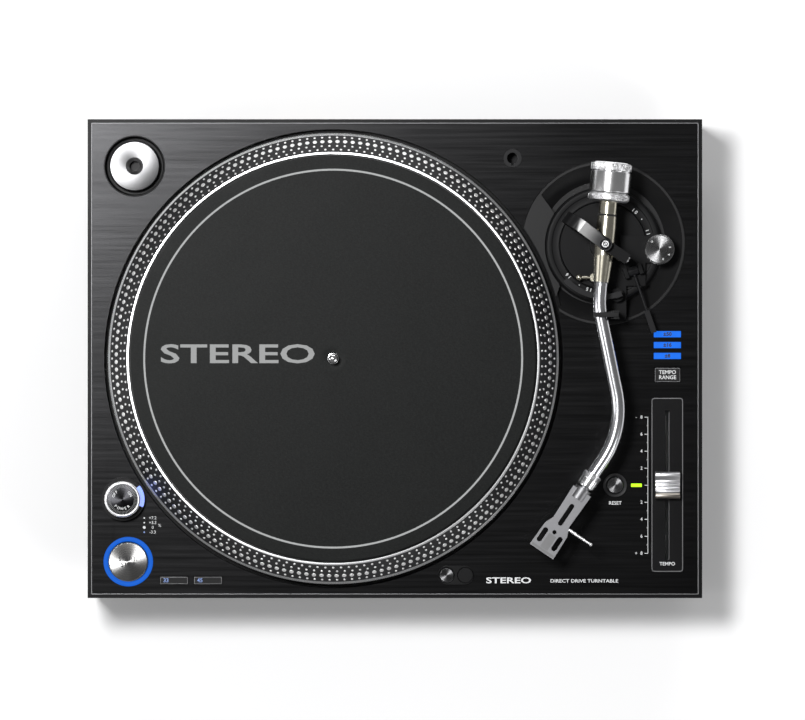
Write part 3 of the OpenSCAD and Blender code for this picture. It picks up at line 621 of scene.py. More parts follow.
class StageSettings(bpy.types.PropertyGroup):
    camera_x: length("Camera across", "Place of the camera to the right of the middle", 5.6)
    camera_y: length("Camera back", "Place of the camera behind the middle", -1.0)
    camera_height: length("Camera height", "Height of the camera above the floor", 4897)
    frame_width: length("Framed width", "Width that the camera takes in at the top panel", 593.2)
    floor_size: length("Floor", "Side of the square floor", 9000)
    floor_colour: colour("Floor colour", "Colour of the floor", (0.97, 0.97, 0.975))


class PlatterSettings(bpy.types.PropertyGroup):
    bright_edge_inner: length("Bright edge", "Inner radius of the bright outer edge", 164.4)
    lip_inner: length("Lip, inside", "Inner radius of the bright inner lip", 150.2)
    lip_outer: length("Lip, outside", "Outer radius of the bright inner lip", 151.75)
    slope_low_radius: length("Slope foot", "Radius at which the dotted slope starts", 164.7)
    slope_low: length("Slope foot height", "Height of the slope's foot", 101)
    slope_high_radius: length("Slope head", "Radius at which the dotted slope ends", 152)
    slope_high: length("Slope head height", "Height of the slope's head", 113.4)
    first_dots: number("First row", "Dots in the row nearest the mat", 168)
    large_dots: number("Third row", "Dots in the row of large dots", 180)
    dots_more: number("More dots", "Dots that each row outwards adds", 6)
    dot_radius: length("Small dot", "Radius of a small dot", 0.92)
    large_dot_radius: length("Large dot", "Radius of a large dot", 1.66)
    dot_height: length("Dot height", "Height of a dot above the slope", 0.22)
    ring_print_radius: length("Printed ring", "Radius of the ring printed on the mat", 138.7)
    ring_print_width: length("Printed ring width", "Width of the ring printed on the mat", 1.35)
    felt_dark: colour("Felt, dark", "Colour of the felt in its hollows", (0.0035, 0.004, 0.004))
    felt_light: colour("Felt, light", "Colour of the felt's raised fibres", (0.014, 0.0152, 0.0147))
    mat_word: word("Mat word", "Word printed on the mat", "STEREO")
    mat_word_width: length("Mat word width", "Width of the word printed on the mat", 113)
    mat_word_height: length("Mat word height", "Height of its capitals", 13.5)
    mat_word_left: length("Mat word place", "Distance of its middle left of the spindle", 70)


class DeckSettings(bpy.types.PropertyGroup):
    panel_colour: colour("Panel", "Colour of the brushed top panel", (0.013, 0.013, 0.0135))
    blue: colour("Blue light", "Colour of the blue lights", (0.012, 0.19, 1.0))
    green: colour("Green light", "Colour of the zero light", (0.5, 1.0, 0.02))
    silver: colour("Silver", "Colour of bare spun aluminium", (0.42, 0.42, 0.43))
    front_word: word("Front word", "Large word at the front edge", "STEREO")
    front_line: word("Front line", "Small words at the front edge", "DIRECT DRIVE TURNTABLE")


class ArmSettings(bpy.types.PropertyGroup):
    housing_heading: turn("Housing heading", "Turn of the arm's rear half from straight ahead", -5.2)
    nose_heading: turn("Nose heading", "Turn of the headshell from straight ahead", -34.0)
    knurls: number("Knurls", "Ribs around the counterweight", 90)
    champagne: colour("Champagne", "Colour of the pivot housing", (0.56, 0.53, 0.44))
    silver: colour("Arm silver", "Colour of the arm tube", (0.66, 0.665, 0.69))
    shell: colour("Headshell", "Colour of the headshell", (0.19, 0.19, 0.198))


class TurntableSettings(bpy.types.PropertyGroup):
    stage: PointerProperty(type=StageSettings)
    platter: PointerProperty(type=PlatterSettings)
    deck: PointerProperty(type=DeckSettings)
    arm: PointerProperty(type=ArmSettings)


def settings():
    return bpy.context.scene.turntable


# ---- the shelf of finishes ----

def finish(name):
    """The finish of this name, made when it is first asked for."""
    return bpy.data.materials.get(name + "_finish") or SHELF[name](name)


SHELF = {
    "panel": lambda n: brushed_panel(n, settings().deck.panel_colour),
    "cast_black": lambda n: moulded(n, (0.004, 0.004, 0.0045), 0.34, 0.3, 0.006),
    "satin_black": lambda n: moulded(n, (0.008, 0.008, 0.0085), 0.32, 0.22, 0.006, 0.12),
    "dish_black": lambda n: moulded(n, (0.012, 0.012, 0.0125), 0.36, 0.2, 0.005, 0.3, gloss=0.2),
    "slab_black": lambda n: moulded(n, (0.004, 0.004, 0.0045), 0.32, 0.25, 0.006),
    "bright_edge": lambda n: satin_metal(n, (0.2, 0.2, 0.205), 0.4, relief=0.0005),
    "collar_grey": lambda n: moulded(n, (0.022, 0.022, 0.023), 0.34, 0.22, 0.004, gloss=0.3),
    "resin": lambda n: moulded(n, (0.035, 0.034, 0.032), 0.6, 1.1, 0.05, 0.0, 0.5),
    "base_rubber": lambda n: rubber(n, (0.014, 0.014, 0.015)),
    "black_rubber": rubber,
    "black_plastic": lambda n: moulded(n, (0.007, 0.007, 0.0075), 0.3, 0.3, 0.006, gloss=0.2),
    "button_black": lambda n: moulded(n, (0.016, 0.016, 0.0165), 0.5, 0.18, 0.004),
    "board": circuit_board,
    "copper": lambda n: satin_metal(n, (0.72, 0.32, 0.14), 0.3, (1, 1, 0.2), relief=0.02),
    "brass": lambda n: satin_metal(n, (0.72, 0.53, 0.2), 0.25),
    "gold": lambda n: satin_metal(n, (0.85, 0.64, 0.25), 0.18),
    "magnet": lambda n: satin_metal(n, (0.3, 0.3, 0.31), 0.4),
    "steel": lambda n: satin_metal(n, (0.72, 0.72, 0.73), 0.16, relief=0.001),
    "bright_silver": lambda n: satin_metal(n, (0.8, 0.8, 0.81), 0.26, relief=0.0006),
    "dot_silver": lambda n: satin_metal(n, (0.93, 0.93, 0.93), 0.4),
    "grey_metal": lambda n: satin_metal(n, (0.2, 0.2, 0.205), 0.36, relief=0.001),
    "arm_silver": lambda n: satin_metal(n, settings().arm.silver, 0.2, relief=0.002),
    "champagne": lambda n: satin_metal(n, settings().arm.champagne, 0.22, relief=0.002),
    "weight_silver": lambda n: satin_metal(n, (0.84, 0.84, 0.85), 0.2, relief=0.001),
    "knurled_silver": knurled_finish,
    "shell_silver": lambda n: satin_metal(n, settings().arm.shell, 0.42, relief=0.012),
    "shell_inset": lambda n: satin_metal(n, (0.15, 0.15, 0.153), 0.4, relief=0.008),
    "blue_light": lambda n: glowing(n, settings().deck.blue, 0.9),
    "green_light": lambda n: glowing(n, settings().deck.green, 1.6),
    "white_print": lambda n: printed(n, WHITE_PRINT),
    "grey_print": lambda n: printed(n, (0.3, 0.305, 0.305)),
    "dark_print": lambda n: printed(n, (0.02, 0.02, 0.022)),
    "blue_print": lambda n: printed(n, (0.25, 0.36, 0.7)),
    "smoke": lambda n: moulded(n, (0.012, 0.012, 0.013), 0.28, 0.4, 0.003),
}


# ---- stage ----

def area_light(name, at, aim, width, depth, watts):
    lamp = bpy.data.lights.new(name, "AREA")
    lamp.shape = "RECTANGLE"
    lamp.size = width
    lamp.size_y = depth
    lamp.energy = watts
    made = bpy.data.objects.new(name, lamp)
    made.location = at
    made.rotation_euler = (Vector(aim) - Vector(at)).to_track_quat("-Z", "Y").to_euler()
    bpy.context.scene.collection.objects.link(made)


class TURNTABLE_OT_stage(bpy.types.Operator):
    """Sets the camera, the floor, the soft lights and the pale surroundings"""
    bl_idname = "turntable.stage"
    bl_label = "Stage"

    def execute(self, context):
        sizes = context.scene.turntable.stage
        lens = bpy.data.cameras.new("camera")
        lens.sensor_width = 36
        reach = sizes.camera_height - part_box("top_panel")[1].z
        lens.lens = lens.sensor_width * reach / sizes.frame_width
        lens.clip_end = 50
        camera = bpy.data.objects.new("camera", lens)
        camera.location = (sizes.camera_x, sizes.camera_y, sizes.camera_height)
        context.scene.collection.objects.link(camera)
        context.scene.camera = camera

        bm = bmesh.new()
        bmesh.ops.create_grid(bm, x_segments=2, y_segments=2, size=sizes.floor_size / 2)
        floor = bpy.data.objects.new("floor", mesh_from(bm, "floor", smooth=False))
        f = Finish("floor", {"Roughness": 0.85, "Specular IOR Level": 0.1})
        cloud = f.grain(f.place(), 3.0, 2.0)
        f.feed("Base Color",
               f.shades(cloud, scaled(sizes.floor_colour, 0.98), scaled(sizes.floor_colour, 1.02)))
        floor.data.materials.append(f.material)
        context.scene.collection.objects.link(floor)

        area_light("key", (-0.54, 0.46, 2.6), (-0.1, 0.05, 0.1), 0.5, 0.42, 54)
        area_light("fill", (1.9, -1.5, 1.5), (0, 0, 0.1), 1.4, 1.0, 22)
        area_light("rear", (0.1, 2.4, 1.0), (0, 0, 0.1), 2.2, 0.5, 24)
        area_light("left", (-2.3, -0.3, 1.2), (0, 0, 0.1), 0.5, 1.6, 9)
        context.scene.view_settings.view_transform = "Standard"
        world = bpy.data.worlds.new("studio")
        world.use_nodes = True
        world.node_tree.nodes["Background"].inputs["Color"].default_value = (1, 1, 1, 1)
        world.node_tree.nodes["Background"].inputs["Strength"].default_value = 0.16
        context.scene.world = world
        return {"FINISHED"}


# ---- plinth ----

def panel_top():
    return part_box("top_panel")[1].z


def outline_loop(name, box, inset, width, low, high, edge, corner):
    """A thin frame around a box seen from above, this far in from its sides."""
    at = middle_of(box)
    wide = box[1].x - box[0].x - 2 * inset
    deep = box[1].y - box[0].y - 2 * inset
    outer = filleted(oblong(at, wide, deep, corner), True)
    inner = filleted(oblong(at, wide - 2 * width, deep - 2 * width, max(corner - width, 0.01 * MM)), True)
    bm = bmesh.new()
    count = len(outer)
    rows = [[(p.x, p.y, low) for p in outer], [(p.x, p.y, high - edge) for p in outer],
            [(p.x + (q.x - p.x) * 0.3, p.y + (q.y - p.y) * 0.3, high) for p, q in zip(outer, inner)],
            [(p.x + (q.x - p.x) * 0.7, p.y + (q.y - p.y) * 0.7, high) for p, q in zip(outer, inner)],
            [(p.x, p.y, high - edge) for p in inner], [(p.x, p.y, low) for p in inner]]
    rings = [[bm.verts.new(v) for v in row] for row in rows]
    for first, second in zip(rings, rings[1:] + rings[:1]):
        for k in range(count):
            n = (k + 1) % count
            bm.faces.new((first[k], first[n], second[n], second[k]))
    bmesh.ops.recalc_face_normals(bm, faces=bm.faces)
    return mesh_from(bm, name)


def middle_of(box):
    return (box[0] + box[1]) / 2


class TURNTABLE_OT_plinth(bpy.types.Operator):
    """Dresses the chassis, the brushed panel, the resin deck, the base, its feet and the sockets"""
    bl_idname = "turntable.plinth"
    bl_label = "Plinth"

    def execute(self, context):
        softened("top_chassis", 0.9 * MM, finish("cast_black"), 3)
        softened("top_panel", 0.12 * MM, finish("panel"), 1)
        softened("resin_deck", 0.5 * MM, finish("resin"))
        softened("rubber_base", 2.2 * MM, finish("base_rubber"), 3)
        softened("mains_inlet", 0.35 * MM, finish("black_plastic"))
        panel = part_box("top_panel")
        top = panel[1].z
        # A thin frame round the panel: its bevel catches real light, and its grey metal, much lighter than
        # the panel, is a painted highlight along the panel's edge.
        edge = outline_loop("panel_edge_highlight", panel, -0.35 * MM, 0.75 * MM, top - 1.4 * MM, top + 0.02 * MM,
                            0.12 * MM, 0.6 * MM)
        piece("panel_edge_highlight", edge, finish("bright_edge"), "plinth")
        paint("rear_jacks", finish("gold"))
        for foot in ("foot_front_left", "foot_front_right", "foot_rear_left", "foot_rear_right"):
            self.foot(foot)
        return {"FINISHED"}

    def foot(self, node):
        low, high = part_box(node)
        at = middle(node)
        r = (high.x - low.x) / 2
        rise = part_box("rubber_base")[0].z
        stud_r = 4 * MM
        body = lathe(node, [
            (0, low.z, 0), (r - 5 * MM, low.z, 1 * MM), (r - 3.4 * MM, low.z + 1.4 * MM, 0.6 * MM),
            (r - 2 * MM, low.z + 2.2 * MM, 0.8 * MM), (r - 2 * MM, low.z + 6 * MM, 0.5 * MM),
            (r, low.z + 7 * MM, 0.8 * MM), (r - 0.8 * MM, rise - 6 * MM, 0.6 * MM),
            (r - 3 * MM, rise - 2.2 * MM, 0.8 * MM), (stud_r, rise - 2 * MM, 0), (stud_r, high.z, 0.4 * MM),
            (0, high.z, 0)], 96)
        grip = repeated(ring_tree(), bar(1.1 * MM, 1.4 * MM, 6.6 * MM, 0.8), finish("black_rubber"),
                        {"Count": 56, "Radius": r - 0.62 * MM, "Height": low.z + 8.2 * MM, "Step": tau / 56})
        made = joined(node, body, grip)
        made.transform(Matrix.Translation((at.x, at.y, 0)))
        piece(node + "_dressed", made, finish("black_rubber"), node, (node,))


# ---- platter ----

class TURNTABLE_OT_platter(bpy.types.Operator):
    """Turns the platter and its spindle, and sets the four rows of strobe dots on its slope"""
    bl_idname = "turntable.platter"
    bl_label = "Platter"

    def execute(self, context):
        sizes = context.scene.turntable.platter
        low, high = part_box("platter")
        at = middle("spindle")
        r = (high.x - low.x) / 2
        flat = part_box("slipmat")[0].z
        mat_r = (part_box("slipmat")[1].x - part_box("slipmat")[0].x) / 2
        hub = flat - 9 * MM
        under = flat - 4.5 * MM
        bore = 4.05 * MM
        slope_out, slope_in = sizes.slope_low_radius, sizes.slope_high_radius
        centre = (at.x, at.y)
        placed = Matrix.Translation((at.x, at.y, 0))
        dish = lathe("platter", [
            (bore, hub, 0), (14 * MM, hub, 0.5 * MM), (14 * MM, under, 0),
            (slope_in - 4 * MM, under, 0.5 * MM),
            (r - 7.5 * MM, sizes.slope_low - 1 * MM, 1 * MM), (r - 4.5 * MM, low.z, 0.5 * MM),
            (r - 0.6 * MM, low.z, 0.5 * MM), (r, low.z + 1 * MM, 0.5 * MM),
            (r, sizes.slope_low - 0.25 * MM, 0.12 * MM),
            (slope_out, sizes.slope_low, 0.25 * MM), (slope_in, sizes.slope_high, 0.2 * MM),
            (slope_in - 0.35 * MM, high.z, 0.25 * MM), (mat_r + 0.9 * MM, high.z, 0.3 * MM),
            (mat_r + 0.5 * MM, flat, 0.2 * MM), (bore, flat, 0)], 256, closed=True)
        dish.transform(placed)
        piece("platter_dressed", dish, platter_finish("platter", sizes, centre), "platter",
              ("platter",))
        self.dots(sizes, placed)
        self.spindle(at, flat)
        return {"FINISHED"}

    def dots(self, sizes, placed):
        """Four rows, each with more dots than the one inside it, and each gaining on the next."""
        run = sizes.slope_low_radius - sizes.slope_high_radius
        rise = sizes.slope_high - sizes.slope_low
        tilt = atan2(rise, run)
        tree = ring_tree()
        rows = []
        small = stud(sizes.dot_radius, sizes.dot_height, 10)
        large = stud(sizes.large_dot_radius, sizes.dot_height, 14, 0.88)
        for row, share in enumerate((0.127, 0.346, 0.608, 0.854)):
            count = sizes.first_dots + row * sizes.dots_more
            big = count == sizes.large_dots
            step = tau / count
            rows.append(repeated(tree, large if big else small, finish("dot_silver"), {
                "Count": count, "Radius": sizes.slope_high_radius + share * run,
                "Height": sizes.slope_high - share * rise, "Step": step,
                "Start": 0.44 * step if big else 0.0, "Tilt": tilt}))
        dots = joined("strobe_dots", *rows)
        dots.transform(placed)
        piece("strobe_dots", dots, finish("dot_silver"), "platter")

    def spindle(self, at, flat):
        low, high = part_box("spindle")
        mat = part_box("slipmat")[1].z
        pin, shaft = 3.6 * MM, 4.0 * MM
        hub = flat - 9 * MM
        dome = [(pin * cos(t), high.z - 2.6 * MM + 2.6 * MM * sin(t), 0) for t in
                [k * pi / 20 for k in range(1, 10)]]
        body = lathe("spindle", [
            (0, low.z, 0), (shaft, low.z, 0.6 * MM), (shaft, hub - 3 * MM, 0),
            (9 * MM, hub - 3 * MM, 0.4 * MM),
            (9 * MM, hub, 0), (shaft, hub, 0), (shaft, mat, 0.15 * MM), (pin, mat + 0.02 * MM, 0.05 * MM),
            (pin, high.z - 2.6 * MM, 0), *dome, (0, high.z, 0)], 64)
        body.transform(Matrix.Translation((at.x, at.y, 0)))
        piece("spindle_dressed", body, finish("steel"), "platter", ("spindle",))


class TURNTABLE_OT_slipmat(bpy.types.Operator):
    """Lays the felt mat, gently uneven, with its printed word"""
    bl_idname = "turntable.slipmat"
    bl_label = "Slipmat"

    def execute(self, context):
        sizes = context.scene.turntable.platter
        low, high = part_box("slipmat")
        at = middle("slipmat")
        r = (high.x - low.x) / 2
        hole = 4.2 * MM
        rings = 24
        top = [(hole + (r - hole - 1.2 * MM) * k / rings, high.z, 0) for k in range(rings, 0, -1)]
        mesh = lathe("slipmat", [
            (hole, low.z, 0.1 * MM), (r - 0.2 * MM, low.z, 0.3 * MM), (r, low.z + 1.2 * MM, 0.5 * MM),
            (r - 0.1 * MM, high.z, 1.0 * MM), *top, (hole, high.z, 0.4 * MM)], 192, closed=True)
        for v in mesh.vertices:
            if v.co.z > high.z - 0.1 * MM:
                swell = noise.noise(Vector((v.co.x * 28, v.co.y * 28, 0.4)))
                v.co.z -= 0.16 * MM * (0.5 + 0.5 * swell) * min(1.0, hypot(v.co.x, v.co.y) / (20 * MM))
        mesh.transform(Matrix.Translation((at.x, at.y, 0)))
        mat = piece("slipmat_felt", mesh, felt_finish("felt", sizes, (at.x, at.y)), "platter",
                    ("slipmat",))
        middle_at = (at.x - sizes.mat_word_left, at.y + 2.8 * MM, high.z)
        printed_word = lettering("mat_word", sizes.mat_word, sizes.mat_word_height, middle_at, "platter",
                                 finish("grey_print"), bold=0.3 * MM)
        wide = printed_word.dimensions.x
        share = Matrix.Diagonal((sizes.mat_word_width / wide, 1, 1, 1))
        there = Matrix.Translation(middle_at)
        printed_word.data.transform(there @ share @ there.inverted())
        return {"FINISHED"}


# ---- left side of the deck ----

def disc(name, node, outline, steps=96):
    """Turns an outline of (radius, height, fillet) about the middle of a CAD node."""
    made = lathe(name, outline, steps)
    at = middle(node)
    made.transform(Matrix.Translation((at.x, at.y, 0)))
    return made


def half_width(node):
    low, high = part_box(node)
    return (high.x - low.x) / 2


class TURNTABLE_OT_adapter(bpy.types.Operator):
    """Turns the single adapter in its well, and dresses the headshell stand"""
    bl_idname = "turntable.adapter"
    bl_label = "Single adapter and headshell stand"

    def execute(self, context):
        low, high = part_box("single_adapter")
        at = middle("single_adapter")
        r = half_width("single_adapter")
        hole = 3.75 * MM
        body = lathe("adapter", [
            (hole, low.z, 0.4 * MM), (r, low.z, 0.5 * MM), (r, high.z - 0.9 * MM, 0.35 * MM),
            (r - 0.9 * MM, high.z, 0.3 * MM), (6.4 * MM, high.z, 0.2 * MM),
            (5.2 * MM, high.z - 0.5 * MM, 0.3 * MM),
            (hole, high.z - 0.9 * MM, 0.3 * MM)], 128, closed=True)
        body.transform(Matrix.Translation((at.x, at.y, 0)))
        silver = context.scene.turntable.deck.silver
        shine = spun("adapter_silver", at, scaled(silver, 0.38), 0.34, 0.88, 0.3, 0.003)
        piece("adapter_dressed", body, shine, "single_adapter", ("single_adapter",))

        low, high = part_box("adapter_well")
        r = half_width("adapter_well")
        wall = 0.9 * MM
        well = disc("adapter_well", "adapter_well", [
            (0, low.z, 0), (r, low.z, 0.4 * MM), (r, high.z, 0.35 * MM), (r - wall, high.z, 0.3 * MM),
            (r - wall, low.z + 2.5 * MM, 1.2 * MM), (0, low.z + 2.5 * MM, 0)], 128)
        piece("adapter_well_dressed", well, finish("satin_black"), "plinth",
              ("adapter_well",))
        softened("headshell_stand", 0.4 * MM, finish("black_rubber"))
        return {"FINISHED"}


class TURNTABLE_OT_power(bpy.types.Operator):
    """Makes the power knob with its ribs and printed dial, the strobe housing and its window"""
    bl_idname = "turntable.power"
    bl_label = "Power knob and strobe"

    def execute(self, context):
        low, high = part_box("power_knob")
        at = middle("power_knob")
        r = half_width("power_knob")
        housing_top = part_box("strobe_housing")[1].z
        skirt = housing_top + 0.4 * MM
        shaft = 3 * MM
        top = high.z
        body = lathe("knob", [
            (0, low.z, 0), (shaft, low.z, 0.3 * MM), (shaft, skirt, 0), (r - 0.3 * MM, skirt, 0.4 * MM),
            (r - 0.3 * MM, top - 1.3 * MM, 0.5 * MM), (r - 0.85 * MM, top, 0.35 * MM),
            (r - 1.6 * MM, top, 0.25 * MM), (r - 2.0 * MM, top - 0.7 * MM, 0.2 * MM),
            (0, top - 0.7 * MM, 0)], 128)
        ribs = repeated(ring_tree(), bar(0.6 * MM, 0.5 * MM, 8.4 * MM, 0.8), finish("knurled_silver"), {
            "Count": 84, "Radius": r - 0.33 * MM, "Height": skirt + 0.6 * MM, "Step": tau / 84})
        placed = Matrix.Translation((at.x, at.y, 0))
        knob = joined("knob", body, ribs)
        knob.transform(placed)
        piece("power_knob_dressed", knob, finish("bright_silver"), "power_knob",
              ("power_knob",))
        cap = lathe("knob_cap", [(0, top - 0.75 * MM, 0), (r - 2.1 * MM, top - 0.75 * MM, 0),
                                 (r - 2.1 * MM, top - 0.62 * MM, 0.05 * MM), (0, top - 0.62 * MM, 0)], 96)
        cap.transform(placed)
        piece("power_knob_cap", cap, spun("knob_black", at, (0.022, 0.022, 0.024), 0.25, 0.88), "power_knob")
        face = top - 0.62 * MM
        ticks = repeated(ring_tree(), bar(2.3 * MM, 0.26 * MM, 0.08 * MM), finish("grey_print"), {
            "Count": 60, "Radius": r - 3.5 * MM, "Height": face, "Step": tau / 60})
        ticks.transform(placed)
        piece("power_knob_ticks", ticks, finish("grey_print"), "power_knob")
        self.words(at, r, face)

        softened("strobe_housing", 0.5 * MM, finish("slab_black"), 2, 40)
        glass = spotted_blue("strobe_blue", context.scene.turntable.deck.blue, 1.3)
        softened("strobe_window", 0.25 * MM, glass, 2)
        self.legend(at)
        return {"FINISHED"}

    def words(self, at, r, face):
        """Letters along an arc of the knob: OFF and ON above, POWER below."""
        reach = r - 6.3 * MM
        for label, start, step, outward in (("OFF", 158, -15, 1), ("ON", 44, -17, 1),
                                            ("POWER", 224, 22, -1)):
            for k, letter in enumerate(label):
                angle = radians(start + step * k)
                spot = (at.x + reach * cos(angle), at.y + reach * sin(angle), face + 0.02 * MM)
                facing = angle - pi / 2 if outward > 0 else angle + pi / 2
                lettering(f"knob_{label}_{k}".lower(), letter, 1.9 * MM, spot, "power_knob",
                          finish("white_print"), facing, bold=0.04 * MM)

    def legend(self, at):
        """The strobe speeds beside the knob: four dots and what each row of dots stands for."""
        top = panel_top()
        x = at.x + 15.4 * MM
        y = at.y - 14.0 * MM
        pitch = 3.5 * MM
        for row, (mark, size,
                  paint_name) in enumerate((("+7.2", 0.6, "white_print"), ("+3.3", 0.6, "white_print"),
                                                        ("0", 1.05, "white_print"),
                                                        ("-3.3", 0.6, "blue_print"))):
            level = y - row * pitch
            dot = stud(size * MM, 0.06 * MM, 20, 0.96)
            dot.transform(Matrix.Translation((x, level, top)))
            piece(f"strobe_mark_{row}", dot, finish(paint_name), "plinth")
            lettering(f"strobe_speed_{row}", mark, 2.2 * MM, (x + 6.2 * MM, level, top), "plinth",
                      finish("white_print"))
        lettering("strobe_percent", "%", 2.2 * MM, (x + 11.4 * MM, y - 1.6 * pitch, top), "plinth",
                  finish("white_print"))


def spotted_blue(name, tint, strength):
    """The strobe lens, lit by the lamp behind it, with faint ribs across it."""
    f = Finish(name, {"Emission Strength": strength, "Roughness": 0.18, "Coat Weight": 0.5})
    ribs = f.grain(f.place(scale=(1, 0.2, 1)), 300.0, 2.0)
    f.feed("Base Color", f.shades(ribs, scaled(tint, 0.3), scaled(tint, 0.9)))
    f.feed("Emission Color", f.shades(ribs, (0.2, 0.26, 0.75), (0.4, 0.46, 0.95)))
    f.feed("Normal", f.relief(ribs, 0.02 * MM))
    return f.material


class TURNTABLE_OT_start(bpy.types.Operator):
    """Makes the start button in its lit ring, and the two speed buttons"""
    bl_idname = "turntable.start"
    bl_label = "Start and speed buttons"

    def execute(self, context):
        deck = context.scene.turntable.deck
        low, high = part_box("start_button")
        at = middle("start_button")
        r = half_width("start_button")
        button = disc("start", "start_button", [
            (0, low.z, 0), (r, low.z, 0), (r, high.z - 0.7 * MM, 0.3 * MM), (r - 0.7 * MM, high.z, 0.3 * MM),
            (0, high.z - 0.12 * MM, 0)], 128)
        shine = spun("start_silver", at, (0.25, 0.248, 0.245), 0.25, 0.9, 0.2, 0.003)
        piece("start_button_dressed", button, shine, "start_button", ("start_button",))
        for k, (words, rise) in enumerate((("START/", 2.0), ("STOP", -2.3))):
            lettering(f"start_word_{k}", words, 3.1 * MM, (at.x, at.y + rise * MM, high.z), "start_button",
                      finish("dark_print"), bold=0.08 * MM)

        low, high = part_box("start_ring")
        outer = half_width("start_ring")
        inner = r + 0.35 * MM
        ring = lathe("start_ring", [
            (inner, low.z, 0), (outer, low.z, 0), (outer, high.z - 0.1 * MM, 0.7 * MM),
            (outer - 1.2 * MM, high.z, 0.8 * MM),
            (inner + 1.0 * MM, high.z, 0.6 * MM), (inner, high.z - 0.4 * MM, 0.3 * MM)], 128, closed=True)
        ring.transform(Matrix.Translation((at.x, at.y, 0)))
        glow = glowing("ring_blue", deck.blue, 0.6, (at.x, at.y))
        piece("start_ring_dressed", ring, glow, "plinth", ("start_ring",))

        for node, label in (("button_33", "33"), ("button_45", "45")):
            softened(node, 0.3 * MM, finish("button_black"))
            low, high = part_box(node)
            lettering(node + "_numeral", label, 2.9 * MM,
                      (low.x + 4.2 * MM, (low.y + high.y) / 2, high.z), node,
                      finish("blue_print"), bold=0.05 * MM)
            edge = outline_loop(node + "_rim", (Vector(low), Vector(high)), 0.05 * MM, 0.35 * MM,
                                high.z - 0.2 * MM, high.z, 0.08 * MM, 0.3 * MM)
            piece(node + "_rim", edge, finish("grey_metal"), node)
        return {"FINISHED"}


class TURNTABLE_OT_stylus_light(bpy.types.Operator):
    """Makes the stylus light: its housing, its turned button and the pop-up lamp with a lens"""
    bl_idname = "turntable.stylus_light"
    bl_label = "Stylus light"

    def execute(self, context):
        softened("lamp_housing", 0.3 * MM, finish("satin_black"))
        low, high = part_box("lamp_button")
        r = half_width("lamp_button")
        button = disc("lamp_button", "lamp_button", [
            (0, low.z, 0), (r, low.z, 0), (r, high.z - 0.5 * MM, 0.3 * MM), (r - 0.5 * MM, high.z, 0.2 * MM),
            (0, high.z - 0.25 * MM, 0)], 96)
        shine = spun("lamp_button_grey", middle("lamp_button"), (0.1, 0.1, 0.103), 0.26, 0.9)
        piece("lamp_button_dressed", button, shine, "lamp_button", ("lamp_button",))
        softened("stylus_lamp", 0.3 * MM, finish("satin_black"))
        at = middle("stylus_lamp")
        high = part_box("stylus_lamp")[1]
        lamp_r = half_width("stylus_lamp")
        cap = disc("lamp_cap", "stylus_lamp", [
            (0, high.z - 0.3 * MM, 0), (lamp_r - 1.0 * MM, high.z - 0.3 * MM, 0),
            (lamp_r - 1.1 * MM, high.z, 0.1 * MM), (1.9 * MM, high.z - 0.02 * MM, 0.1 * MM),
            (1.6 * MM, high.z - 0.25 * MM, 0.1 * MM), (0, high.z - 0.22 * MM, 0)], 64)
        piece("stylus_lamp_cap", cap, spun("lamp_black", at, (0.07, 0.07, 0.075), 0.22, 0.85), "stylus_lamp")
        return {"FINISHED"}


# ---- right side of the deck ----

def slider_finish(centre, half):
    """Bare metal brushed across the knob, with a darker, warmer step along its front."""
    f = Finish("slider_silver", {"Metallic": 1.0})
    _, y, _ = f.split(f.place(centre=(0, centre.y, 0)))
    hair = f.grain(f.place(scale=(8, 1, 1)), 2200.0, 2.0)
    front = 1 - y.rises(-0.52 * half, 0.02 * half)
    seam = y.within(-0.56 * half, -0.44 * half, 0.02 * half)
    silver = f.shades(hair, (0.62, 0.62, 0.64), (0.8, 0.8, 0.82))
    warm = f.shades(hair, (0.2, 0.185, 0.165), (0.27, 0.25, 0.225))
    step = f.mix(front, silver, warm)
    f.feed("Base Color", f.mix(seam * 0.85, step, (0.03, 0.03, 0.03, 1)))
    f.feed("Roughness", 0.3 + 0.08 * hair)
    f.feed("Normal", f.relief(hair, 0.0006 * MM))
    return f.material


